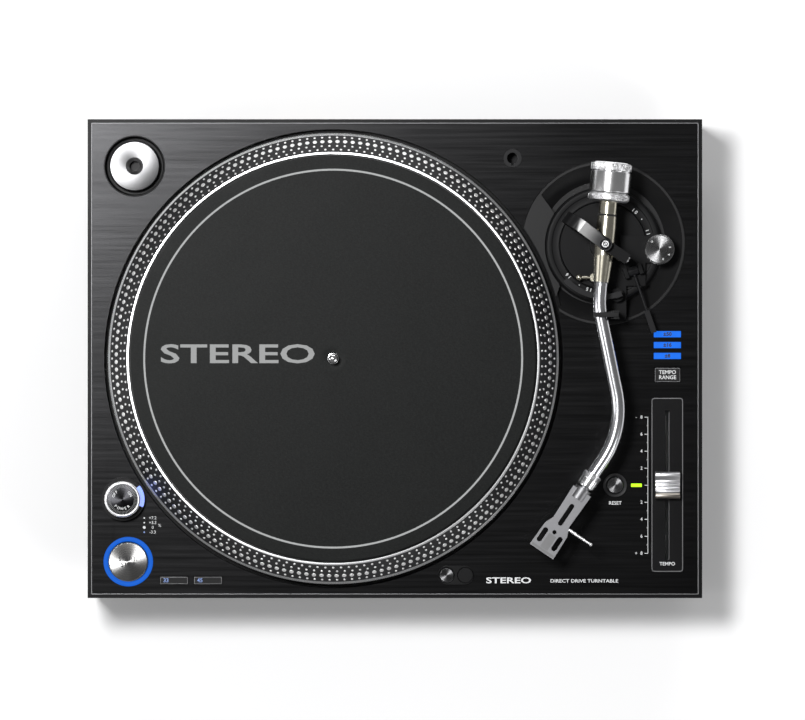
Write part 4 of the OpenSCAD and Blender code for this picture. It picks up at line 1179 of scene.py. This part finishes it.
class TURNTABLE_OT_tempo(bpy.types.Operator):
    """Makes the tempo slider with its framed slot, its grooved knob and its scale"""
    bl_idname = "turntable.tempo"
    bl_label = "Tempo slider"

    def execute(self, context):
        softened("slider_bezel", 0.25 * MM, finish("slab_black"))
        low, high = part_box("slider_bezel")
        rim = outline_loop("slider_rim", (Vector(low), Vector(high)), 0.0, 0.85 * MM, high.z - 0.6 * MM,
                           high.z + 0.35 * MM, 0.3 * MM, 2.6 * MM)
        piece("slider_rim", rim, finish("grey_metal"), "plinth")
        self.knob()
        self.scale(low)
        lettering("tempo_word", "TEMPO", 2.5 * MM, ((low.x + high.x) / 2, low.y + 5.9 * MM, high.z),
                  "plinth",
                  finish("white_print"), bold=0.05 * MM)
        return {"FINISHED"}

    def knob(self):
        """The knob: a raised bright ridge in front and behind, and a waist with cross grooves."""
        low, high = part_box("tempo_knob")
        at = (low + high) / 2
        foot = panel_top() + 1.6 * MM
        half = (high.y - low.y) / 2
        top = high.z
        side = [(-half, foot), (half, foot), (half, foot + 4.2 * MM), (half - 0.5 * MM, top - 1.4 * MM),
                (half - 1.6 * MM, top), (half - 3.4 * MM, top), (half - 6.3 * MM, top - 2.6 * MM)]
        grooves = 3
        waist = half - 6.3 * MM
        pitch = 2 * waist / grooves
        for k in range(grooves):
            y = waist - k * pitch
            side += [(y - 0.25 * pitch, top - 2.3 * MM), (y - 0.66 * pitch, top - 2.3 * MM),
                     (y - 0.8 * pitch, top - 3.1 * MM)]
        side += [(-waist, top - 2.6 * MM), (-half + 3.4 * MM, top), (-half + 1.6 * MM, top),
                 (-half + 0.5 * MM, top - 1.4 * MM), (-half, foot + 4.2 * MM)]
        bm = bmesh.new()
        verts = [bm.verts.new((low.x, at.y + y, z)) for y, z in side]
        face = bm.faces.new(verts)
        grown = bmesh.ops.extrude_face_region(bm, geom=[face])["geom"]
        moved = [v for v in grown if isinstance(v, bmesh.types.BMVert)]
        bmesh.ops.translate(bm, vec=(high.x - low.x, 0, 0), verts=moved)
        bmesh.ops.recalc_face_normals(bm, faces=bm.faces)
        sharp = [e for e in bm.edges if e.calc_face_angle(0) > radians(12)]
        bmesh.ops.bevel(bm, geom=sharp, offset=0.22 * MM, segments=2, affect="EDGES", profile=0.5,
                        clamp_overlap=True)
        stalk = slab("stalk", oblong((at.x, at.y), 1.6 * MM, 6 * MM, 0), low.z, foot + 0.3 * MM)
        shoe = slab("shoe", oblong((at.x, at.y), 7 * MM, 8 * MM, 0.4 * MM), low.z, low.z + 5 * MM)
        knob = joined("tempo_knob", mesh_from(bm, "knob"), stalk, shoe)
        piece("tempo_knob_dressed", knob, slider_finish(at, half), "tempo_knob",
              ("tempo_knob",))

    def scale(self, bezel_low):
        """The scale beside the slot: a spine, long ticks for even numbers and short ones between them."""
        top = panel_top()
        middle_y = middle("zero_light").y
        pitch = 6.27 * MM
        spine = bezel_low.x - 2.6 * MM
        ink = finish("white_print")
        line = slab("scale_line", oblong((spine, middle_y), 0.36 * MM, 16 * pitch + 0.4 * MM, 0), top,
                    top + PRINT_DEPTH)
        long_ticks = repeated(row_tree(), bar(2.4 * MM, 0.42 * MM, PRINT_DEPTH, 1.0), ink, {
            "Count": 9, "First": (spine - 1.2 * MM, middle_y - 8 * pitch, top), "Pitch": (0, 2 * pitch, 0)})
        short_ticks = repeated(row_tree(), bar(0.9 * MM, 0.34 * MM, PRINT_DEPTH, 1.0), ink, {
            "Count": 8, "First": (spine - 0.5 * MM, middle_y - 7 * pitch, top), "Pitch": (0, 2 * pitch, 0)})
        piece("tempo_scale", joined("tempo_scale", line, long_ticks, short_ticks), ink, "plinth")
        for step in range(-8, 9, 2):
            if step:
                spot = (spine - 4.7 * MM, middle_y + step * pitch, top)
                lettering(f"tempo_{'up' if step > 0 else 'down'}_{abs(step)}", str(abs(step)), 2.3 * MM,
                          spot,
                          "plinth", ink, bold=0.04 * MM)
        for mark, step in (("-", 8), ("+", -8)):
            lettering("tempo_minus" if mark == "-" else "tempo_plus", mark, 2.3 * MM,
                      (spine - 8.6 * MM, middle_y + step * pitch, top), "plinth", ink, bold=0.04 * MM)


class TURNTABLE_OT_tempo_controls(bpy.types.Operator):
    """Makes the range lights and their button, the zero light and the reset button"""
    bl_idname = "turntable.tempo_controls"
    bl_label = "Tempo buttons and lights"

    def execute(self, context):
        top = panel_top()
        softened("range_lights", 0.35 * MM, finish("blue_light"))
        low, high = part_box("range_lights")
        pitch = (high.y - low.y - 4.6 * MM) / 2
        for k, words in enumerate(("±8", "±16", "±50")):
            lettering(f"range_{k}", words, 2.7 * MM,
                      ((low.x + high.x) / 2, low.y + 2.3 * MM + k * pitch, high.z),
                      "plinth", finish("dark_print"), bold=0.14 * MM)
        softened("zero_light", 0.2 * MM, finish("green_light"))

        softened("range_button", 0.4 * MM, finish("button_black"))
        low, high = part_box("range_button")
        at = middle("range_button")
        rim = outline_loop("range_rim", (Vector(low), Vector(high)), 0.05 * MM, 0.45 * MM, high.z - 0.4 * MM,
                           high.z, 0.1 * MM, 0.5 * MM)
        piece("range_button_rim", rim, finish("bright_edge"), "range_button")
        for k, (words, rise) in enumerate((("TEMPO", 1.9), ("RANGE", -1.9))):
            lettering(f"range_word_{k}", words, 2.75 * MM, (at.x, at.y + rise * MM, high.z - 0.01 * MM),
                      "range_button", finish("white_print"), bold=0.05 * MM)

        low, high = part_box("reset_button")
        at = middle("reset_button")
        r = half_width("reset_button")
        button = disc("reset", "reset_button", [
            (0, low.z, 0), (r, low.z, 0), (r, high.z - 0.4 * MM, 0.2 * MM),
            (r - 0.4 * MM, high.z, 0.15 * MM),
            (0, high.z - 0.3 * MM, 0)], 96)
        piece("reset_button_dressed", button, spun("reset_black", at, (0.16, 0.16, 0.165), 0.25, 0.9),
              "reset_button", ("reset_button",))
        collar = lathe("reset_collar", [
            (r + 0.5 * MM, top - 0.2 * MM, 0), (r + 2.8 * MM, top - 0.2 * MM, 0),
            (r + 2.8 * MM, top + 0.6 * MM, 0.3 * MM),
            (r + 1.9 * MM, top + 0.95 * MM, 0.3 * MM), (r + 0.5 * MM, top + 0.3 * MM, 0.2 * MM)], 96,
            closed=True)
        collar.transform(Matrix.Translation((at.x, at.y, 0)))
        piece("reset_collar", collar, finish("collar_grey"), "plinth")
        lettering("reset_word", "RESET", 2.5 * MM, (at.x, at.y - 13.2 * MM, top), "plinth",
                  finish("white_print"), bold=0.04 * MM)
        return {"FINISHED"}


class TURNTABLE_OT_front_words(bpy.types.Operator):
    """Prints the generic words along the front edge"""
    bl_idname = "turntable.front_words"
    bl_label = "Front words"

    def execute(self, context):
        deck = context.scene.turntable.deck
        low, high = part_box("top_panel")
        y = low.y + 9.9 * MM
        lettering("front_word", deck.front_word, 4.2 * MM, (high.x - 139.7 * MM, y, high.z), "plinth",
                  finish("white_print"), spread=1.6, bold=0.12 * MM)
        lettering("front_line", deck.front_line, 2.4 * MM, (high.x - 84.0 * MM, y - 0.3 * MM, high.z),
                  "plinth",
                  finish("white_print"), spread=1.2, bold=0.04 * MM)
        return {"FINISHED"}


# ---- tonearm base ----

class TURNTABLE_OT_arm_base(bpy.types.Operator):
    """Dresses the dish, the height ring with its scale, the arm base and everything mounted on it"""
    bl_idname = "turntable.arm_base"
    bl_label = "Tonearm base"

    def execute(self, context):
        softened("arm_dish", 0.25 * MM, finish("dish_black"), 2, 26)
        self.height_ring()
        softened("arm_base", 0.45 * MM, finish("slab_black"))
        softened("bearing_bridge", 0.45 * MM, bridge_finish(middle("top_pivot")))
        softened("gimbal", 0.5 * MM, finish("slab_black"))
        softened("arm_rest", 0.4 * MM, finish("black_plastic"))
        softened("arm_clip", 0.35 * MM, finish("black_plastic"))
        softened("lift_platform", 0.3 * MM, finish("black_rubber"))
        softened("cue_lever", 0.25 * MM, finish("smoke"), 2, 40)
        paint("height_lock", finish("champagne"))
        paint("top_pivot", pivot_finish(middle("top_pivot")))
        self.pivot_ring()
        self.gimbal_screws()
        self.dial()
        return {"FINISHED"}

    def height_ring(self):
        low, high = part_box("height_ring")
        at = middle("height_ring")
        outer = half_width("height_ring")
        inner = outer - 10.5 * MM
        ring = lathe("height_ring", [
            (inner, low.z, 0), (outer, low.z, 0.4 * MM), (outer, high.z - 1.5 * MM, 0.5 * MM),
            (outer - 1.5 * MM, high.z, 0.5 * MM), (inner + 5.9 * MM, high.z, 0.25 * MM),
            (inner + 5.5 * MM, high.z - 0.5 * MM, 0.2 * MM), (inner + 0.9 * MM, high.z - 0.5 * MM, 0.2 * MM),
            (inner + 0.6 * MM, high.z - 0.1 * MM, 0.15 * MM), (inner, high.z - 0.3 * MM, 0.15 * MM)],
            160, closed=True)
        placed = Matrix.Translation((at.x, at.y, 0))
        ring.transform(placed)
        piece("height_ring_dressed", ring, finish("satin_black"), "height_ring",
              ("height_ring",))
        ink = finish("white_print")
        first, gap = radians(49.5), radians(-31)
        face = high.z - 0.5 * MM
        line_r = inner + 2.2 * MM
        long_ticks = repeated(ring_tree(), bar(2.4 * MM, 0.5 * MM, PRINT_DEPTH, 1.0), ink, {
            "Count": 7, "Radius": line_r, "Height": face, "Start": first, "Step": gap})
        dots = repeated(ring_tree(), stud(0.42 * MM, PRINT_DEPTH, 10, 1.0), ink, {
            "Count": 6, "Radius": line_r, "Height": face, "Start": first + gap / 2, "Step": gap})
        marks = joined("height_marks", long_ticks, dots)
        marks.transform(placed)
        piece("height_marks", marks, ink, "height_ring")
        for k in range(7):
            angle = first + gap * k - radians(4.5)
            spot = (at.x + line_r * cos(angle), at.y + line_r * sin(angle), face)
            lettering(f"height_{k}", str(k), 2.5 * MM, spot, "height_ring", ink, angle - pi / 2,
                      bold=0.06 * MM)

    def pivot_ring(self):
        """The black collar around the top pivot screw."""
        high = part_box("top_pivot")[1]
        at = middle("top_pivot")
        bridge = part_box("bearing_bridge")[1].z
        ring = lathe("pivot_ring", [
            (2.55 * MM, bridge - 0.3 * MM, 0), (3.9 * MM, bridge - 0.3 * MM, 0),
            (3.9 * MM, high.z - 0.5 * MM, 0.25 * MM),
            (3.3 * MM, high.z - 0.15 * MM, 0.2 * MM), (2.75 * MM, high.z - 0.15 * MM, 0.1 * MM),
            (2.55 * MM, high.z - 0.5 * MM, 0.1 * MM)], 64, closed=True)
        ring.transform(Matrix.Translation((at.x, at.y, 0)))
        piece("pivot_ring", ring, finish("slab_black"), "arm_base")

    def gimbal_screws(self):
        """The slotted pitch screws at the two ends of the gimbal."""
        pivot = middle("top_pivot")
        level = middle("arm_tube").z
        reach = 20 * MM
        heads = []
        for side in (-1, 1):
            head = lathe("screw", [
                (0, 0, 0), (2.6 * MM, 0, 0), (2.6 * MM, 1.1 * MM, 0.3 * MM), (0.5 * MM, 1.15 * MM, 0.1 * MM),
                (0.4 * MM, 0.6 * MM, 0.1 * MM), (0, 0.6 * MM, 0)], 40)
            heading = Matrix.Rotation(radians(-34), 4, "Z") @ Matrix.Rotation(side * pi / 2, 4, "Y")
            out = Matrix.Rotation(radians(-34), 4, "Z") @ Vector((side * (reach - 0.05 * MM), 0, 0))
            heads.append((head, Matrix.Translation((pivot.x + out.x, pivot.y + out.y, level)) @ heading))
        piece("gimbal_screws", joined("gimbal_screws", *heads), finish("bright_silver"), "gimbal")

    def dial(self):
        """The anti-skate dial: a spun face, a knurled rim and its numerals."""
        low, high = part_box("antiskate_dial")
        at = middle("antiskate_dial")
        r = half_width("antiskate_dial")
        foot = high.z - 9 * MM
        shaft = 2.5 * MM
        body = lathe("dial", [
            (0, low.z, 0), (shaft, low.z, 0.2 * MM), (shaft, foot, 0), (r - 0.35 * MM, foot, 0.3 * MM),
            (r - 0.35 * MM, high.z - 0.6 * MM, 0.3 * MM), (r - 1.0 * MM, high.z, 0.3 * MM),
            (0, high.z - 0.25 * MM, 0)], 96)
        ribs = repeated(ring_tree(), bar(0.7 * MM, 0.42 * MM, 7.4 * MM, 0.85), finish("knurled_silver"), {
            "Count": 84, "Radius": r - 0.38 * MM, "Height": foot + 0.6 * MM, "Step": tau / 84})
        dial = joined("dial", body, ribs)
        dial.transform(Matrix.Translation((at.x, at.y, 0)))
        shine = spun("dial_silver", at, (0.16, 0.16, 0.162), 0.26, 0.9, 0.25, 0.01)
        piece("antiskate_dial_dressed", dial, shine, "antiskate_dial", ("antiskate_dial",))
        for k in range(7):
            angle = radians(135 - 41 * k)
            reach = r - 3.1 * MM
            spot = (at.x + reach * cos(angle), at.y + reach * sin(angle), high.z - 0.06 * MM)
            lettering(f"dial_{k}", str(k), 2.1 * MM, spot, "antiskate_dial", finish("white_print"),
                      angle - pi / 2, bold=0.04 * MM)


def pivot_finish(centre):
    """The top pivot screw: a bright middle with its slot painted black as shade, a gap round it painted
    black as shade, and a bright lock ring.
    """
    f = Finish("pivot", {"Metallic": 1.0})
    point = f.place(centre=(centre.x, centre.y, 0), turn=(0, 0, 0.7))
    x, _, _ = f.split(point)
    radius = f.radius(point)
    # The slot and the gap between the middle and the lock ring are painted near black: painted shade.
    slot = 1 - x.size().rises(0.22 * MM, 0.05 * MM)
    core = (1 - radius.rises(1.15 * MM, 0.06 * MM)) * (1 - slot)
    ring = radius.within(1.75 * MM, 2.5 * MM, 0.06 * MM) * (1 - 0.8 * slot)
    fine = f.grain(f.place(), 2200.0, 2.0)
    f.feed("Base Color", f.shades(core + ring, (0.01, 0.01, 0.01), (0.85, 0.85, 0.86)))
    f.feed("Roughness", 0.24 + 0.08 * fine)
    f.feed("Normal", f.relief(core + ring, 0.1 * MM))
    return f.material


def bridge_finish(pivot):
    """The bearing bridge: black where it slopes down, with its level top painted a satin grey as a painted
    highlight.
    """
    f = Finish("bridge", {"Metallic": 0.7})
    far = f.radius(f.place(centre=(pivot.x, pivot.y, 0)))
    # The grey on the level top is a soft band round the pivot: painted light falling on the top, while the
    # slopes keep the black.
    level = far.rises(12.5 * MM, 8 * MM) * (1 - far.rises(23.5 * MM, 3.2 * MM))
    fine = f.grain(f.place(), 2200.0, 2.0)
    grey = f.shades(fine, (0.16, 0.16, 0.16), (0.24, 0.24, 0.24))
    black = f.shades(fine, (0.012, 0.012, 0.013), (0.024, 0.024, 0.025))
    f.feed("Base Color", f.mix(level, black, grey))
    f.feed("Roughness", 0.34 + 0.08 * fine)
    f.feed("Normal", f.relief(fine, 0.006 * MM))
    return f.material


# ---- tonearm ----

def arm_frame(heading, along=0.0):
    """A frame on the arm: Z points to its rear, and the origin is this far behind the pivot."""
    pivot = middle("top_pivot")
    level = middle("arm_tube").z
    return (Matrix.Translation((pivot.x, pivot.y, level)) @ Matrix.Rotation(heading, 4, "Z")
            @ Matrix.Translation((0, along, 0)) @ Matrix.Rotation(-pi / 2, 4, "X"))


def along_arm(node, heading):
    """How far behind the pivot a node on the arm's straight rear half starts and ends."""
    inverse = arm_frame(heading).inverted()
    depths = [(inverse @ v.co).z for v in frame["nodes"][node].data.vertices]
    return min(depths), max(depths)


def knurl(radius, start, end, count, material):
    """A knurled band as a ring of fine ribs about Z."""
    return repeated(ring_tree(), bar(0.75 * MM, 0.5 * MM, end - start, 0.9), material, {
        "Count": count, "Radius": radius, "Height": start, "Step": tau / count})


class TURNTABLE_OT_arm(bpy.types.Operator):
    """Dresses the arm: housing, S-shaped tube, shaft, counterweight, scale ring, collar and headshell"""
    bl_idname = "turntable.arm"
    bl_label = "Tonearm"

    def execute(self, context):
        sizes = context.scene.turntable.arm
        paint("pivot_housing", finish("champagne"))
        paint("arm_tube", finish("arm_silver"))
        paint("rear_shaft", finish("champagne"))
        paint("weight_insert", finish("black_rubber"))
        self.rings(sizes)
        self.counterweight(sizes)
        self.scale_ring(sizes)
        self.collar(sizes)
        self.headshell(sizes)
        paint("finger_lift", finish("bright_silver"))
        return {"FINISHED"}

    def rings(self, sizes):
        """A dark washer behind the housing, and the seam where the tube enters it."""
        heading = sizes.housing_heading
        start, end = along_arm("pivot_housing", heading)
        washer = lathe("washer", [
            (4 * MM, 0, 0), (6.55 * MM, 0, 0.2 * MM), (6.55 * MM, 1.3 * MM, 0.2 * MM),
            (4 * MM, 1.3 * MM, 0)],
            64, closed=True)
        washer.transform(arm_frame(heading, end + 0.1 * MM))
        piece("arm_washer", washer, finish("black_rubber"), "arm")
        seam = lathe("seam", [
            (4.7 * MM, 0, 0), (5.6 * MM, 0, 0.15 * MM), (5.6 * MM, 0.9 * MM, 0.15 * MM),
            (4.7 * MM, 0.9 * MM, 0)],
            64, closed=True)
        seam.transform(arm_frame(heading, start - 0.7 * MM))
        piece("arm_seam", seam, finish("grey_metal"), "arm")

    def counterweight(self, sizes):
        heading = sizes.housing_heading
        start, end = along_arm("counterweight", heading)
        r = 15 * MM
        span = end - start
        bore = 9.65 * MM
        knurl_from = span - 6.2 * MM
        body = lathe("weight", [
            (bore, 0, 0), (r - 0.9 * MM, 0, 0.4 * MM), (r - 0.2 * MM, 0.7 * MM, 0.3 * MM),
            (r - 0.2 * MM, knurl_from - 0.9 * MM, 0.2 * MM), (r - 0.9 * MM, knurl_from - 0.5 * MM, 0.1 * MM),
            (r - 0.9 * MM, knurl_from - 0.1 * MM, 0.1 * MM), (r - 0.35 * MM, knurl_from, 0.1 * MM),
            (r - 0.35 * MM, span - 0.8 * MM, 0.3 * MM), (r - 1.3 * MM, span, 0.4 * MM),
            (r - 3.4 * MM, span, 0.3 * MM), (r - 4.0 * MM, span - 0.6 * MM, 0.2 * MM),
            (4.0 * MM, span - 0.6 * MM, 0.2 * MM), (3.4 * MM, span - 0.1 * MM, 0.2 * MM),
            (0, span - 0.1 * MM, 0), (0, span - 2.5 * MM, 0), (bore, span - 2.5 * MM, 0)], 128)
        band = knurl(r - 0.4 * MM, knurl_from + 0.4 * MM, span - 1.1 * MM, sizes.knurls,
                     finish("knurled_silver"))
        placed = arm_frame(heading, start)
        body.transform(placed)
        band.transform(placed)
        piece("counterweight_dressed", body, finish("weight_silver"), "counterweight",
              ("counterweight",))
        piece("counterweight_knurl", band, finish("knurled_silver"), "counterweight")

    def scale_ring(self, sizes):
        heading = sizes.housing_heading
        start, end = along_arm("scale_ring", heading)
        r = 15.2 * MM
        span = end - start
        bore = 6.95 * MM
        body = lathe("scale_ring", [
            (bore, 0, 0), (r - 2.2 * MM, 0, 0.5 * MM), (r - 0.6 * MM, 1.1 * MM, 0.4 * MM),
            (r - 0.35 * MM, span - 1.2 * MM, 0.2 * MM), (r - 1.0 * MM, span - 0.6 * MM, 0.2 * MM),
            (r - 1.4 * MM, span, 0.2 * MM), (bore, span, 0)], 128, closed=True)
        band = knurl(r - 0.42 * MM, 1.5 * MM, span - 1.5 * MM, sizes.knurls, finish("knurled_silver"))
        placed = arm_frame(heading, start)
        ring = joined("scale_ring", (body, placed), (band, placed))
        piece("scale_ring_dressed", ring, finish("knurled_silver"), "scale_ring",
              ("scale_ring",))

    def collar(self, sizes):
        """The lock collar: a knurled band, a smooth sleeve and a thin ring."""
        heading = sizes.nose_heading
        at = middle("lock_collar")
        frame_at = (Matrix.Translation(at) @ Matrix.Rotation(heading, 4, "Z") @ Matrix.Rotation(-pi / 2,
                                                                                                4, "X"))
        inverse = frame_at.inverted()
        depths = [(inverse @ v.co).z for v in frame["nodes"]["lock_collar"].data.vertices]
        low, high = min(depths), max(depths)
        bore = 4.97 * MM
        r, sleeve = 7 * MM, 6.55 * MM
        body = lathe("collar", [
            (bore, low, 0), (sleeve - 1.0 * MM, low, 0.2 * MM),
            (sleeve - 0.7 * MM, low + 0.9 * MM, 0.1 * MM),
            (sleeve, low + 1.0 * MM, 0.15 * MM), (sleeve, low + 1.9 * MM, 0.15 * MM),
            (sleeve - 0.35 * MM, low + 2.1 * MM, 0.1 * MM), (sleeve - 0.35 * MM, low + 2.4 * MM, 0.1 * MM),
            (sleeve, low + 2.6 * MM, 0.2 * MM), (sleeve, high - 4.9 * MM, 0.2 * MM),
            (r - 0.3 * MM, high - 4.5 * MM, 0.2 * MM), (r - 0.3 * MM, high - 0.7 * MM, 0.2 * MM),
            (r - 0.9 * MM, high, 0.3 * MM), (bore, high, 0)], 96, closed=True)
        band = knurl(r - 0.42 * MM, high - 4.3 * MM, high - 0.8 * MM, 48, finish("knurled_silver"))
        body.transform(frame_at)
        band.transform(frame_at)
        piece("lock_collar_dressed", body, finish("weight_silver"), "lock_collar",
              ("lock_collar",))
        piece("lock_collar_knurl", band, finish("grey_metal"), "lock_collar")

    def headshell(self, sizes):
        softened("headshell", 0.35 * MM, finish("shell_silver"), 2, 30)
        nose = middle("lock_collar")
        turned = Matrix.Rotation(sizes.nose_heading, 4, "Z")
        half_collar = 5.75 * MM
        front = half_collar + 1.5 * MM + 55.5 * MM
        plate_top = nose.z + 4.5 * MM
        placed = Matrix.Translation((nose.x, nose.y, 0)) @ turned
        inset = slab("inset", [
            (-3.1 * MM, -front + 2.6 * MM, 0.3 * MM), (3.1 * MM, -front + 2.6 * MM, 0.3 * MM),
            (3.1 * MM, -front + 14.6 * MM, 0.3 * MM), (-3.1 * MM, -front + 14.6 * MM, 0.3 * MM)],
            plate_top - 0.1 * MM, plate_top + 0.04 * MM)
        strip = slab("strip", [
            (-9.4 * MM, -front + 0.5 * MM, 0.3 * MM), (9.4 * MM, -front + 0.5 * MM, 0.3 * MM),
            (9.4 * MM, -front + 2.3 * MM, 0.3 * MM), (-9.4 * MM, -front + 2.3 * MM, 0.3 * MM)],
            plate_top - 0.1 * MM, plate_top + 0.05 * MM)
        trim = joined("headshell_trim", (inset, placed), (strip, placed))
        piece("headshell_trim", trim, finish("shell_inset"), "headshell")


# ---- inside ----

class TURNTABLE_OT_inside(bpy.types.Operator):
    """Gives the motor, the bearing, the boards and the fader their finishes"""
    bl_idname = "turntable.inside"
    bl_label = "Inner parts"

    def execute(self, context):
        for node, name in (("stator", "copper"), ("bearing_housing", "brass"), ("power_supply", "board"),
                           ("main_board", "board"), ("fader_unit", "grey_metal"), ("rotor_magnet", "magnet"),
                           ("platter_damper", "black_rubber")):
            paint(node, finish(name))
        return {"FINISHED"}


# ---- add-on ----

OPERATORS = (TURNTABLE_OT_stage, TURNTABLE_OT_plinth, TURNTABLE_OT_inside, TURNTABLE_OT_platter,
             TURNTABLE_OT_slipmat, TURNTABLE_OT_adapter, TURNTABLE_OT_power, TURNTABLE_OT_start,
             TURNTABLE_OT_stylus_light, TURNTABLE_OT_tempo, TURNTABLE_OT_tempo_controls,
             TURNTABLE_OT_front_words, TURNTABLE_OT_arm_base, TURNTABLE_OT_arm)


class TURNTABLE_PT_panel(bpy.types.Panel):
    """Lists what the turntable is made of"""
    bl_idname = "TURNTABLE_PT_panel"
    bl_label = "Turntable"
    bl_space_type = "VIEW_3D"
    bl_region_type = "UI"
    bl_category = "Turntable"

    def draw(self, context):
        for operator in OPERATORS:
            self.layout.operator(operator.bl_idname)


CLASSES = (StageSettings, PlatterSettings, DeckSettings, ArmSettings, TurntableSettings, *OPERATORS,
           TURNTABLE_PT_panel)


def register():
    for made in CLASSES:
        bpy.utils.register_class(made)
    bpy.types.Scene.turntable = PointerProperty(type=TurntableSettings)


def unregister():
    del bpy.types.Scene.turntable
    for made in reversed(CLASSES):
        bpy.utils.unregister_class(made)


def main():
    register()
    for operator in OPERATORS:
        group, name = operator.bl_idname.split(".")
        getattr(getattr(bpy.ops, group), name)()


if __name__ == "__main__":
    main()
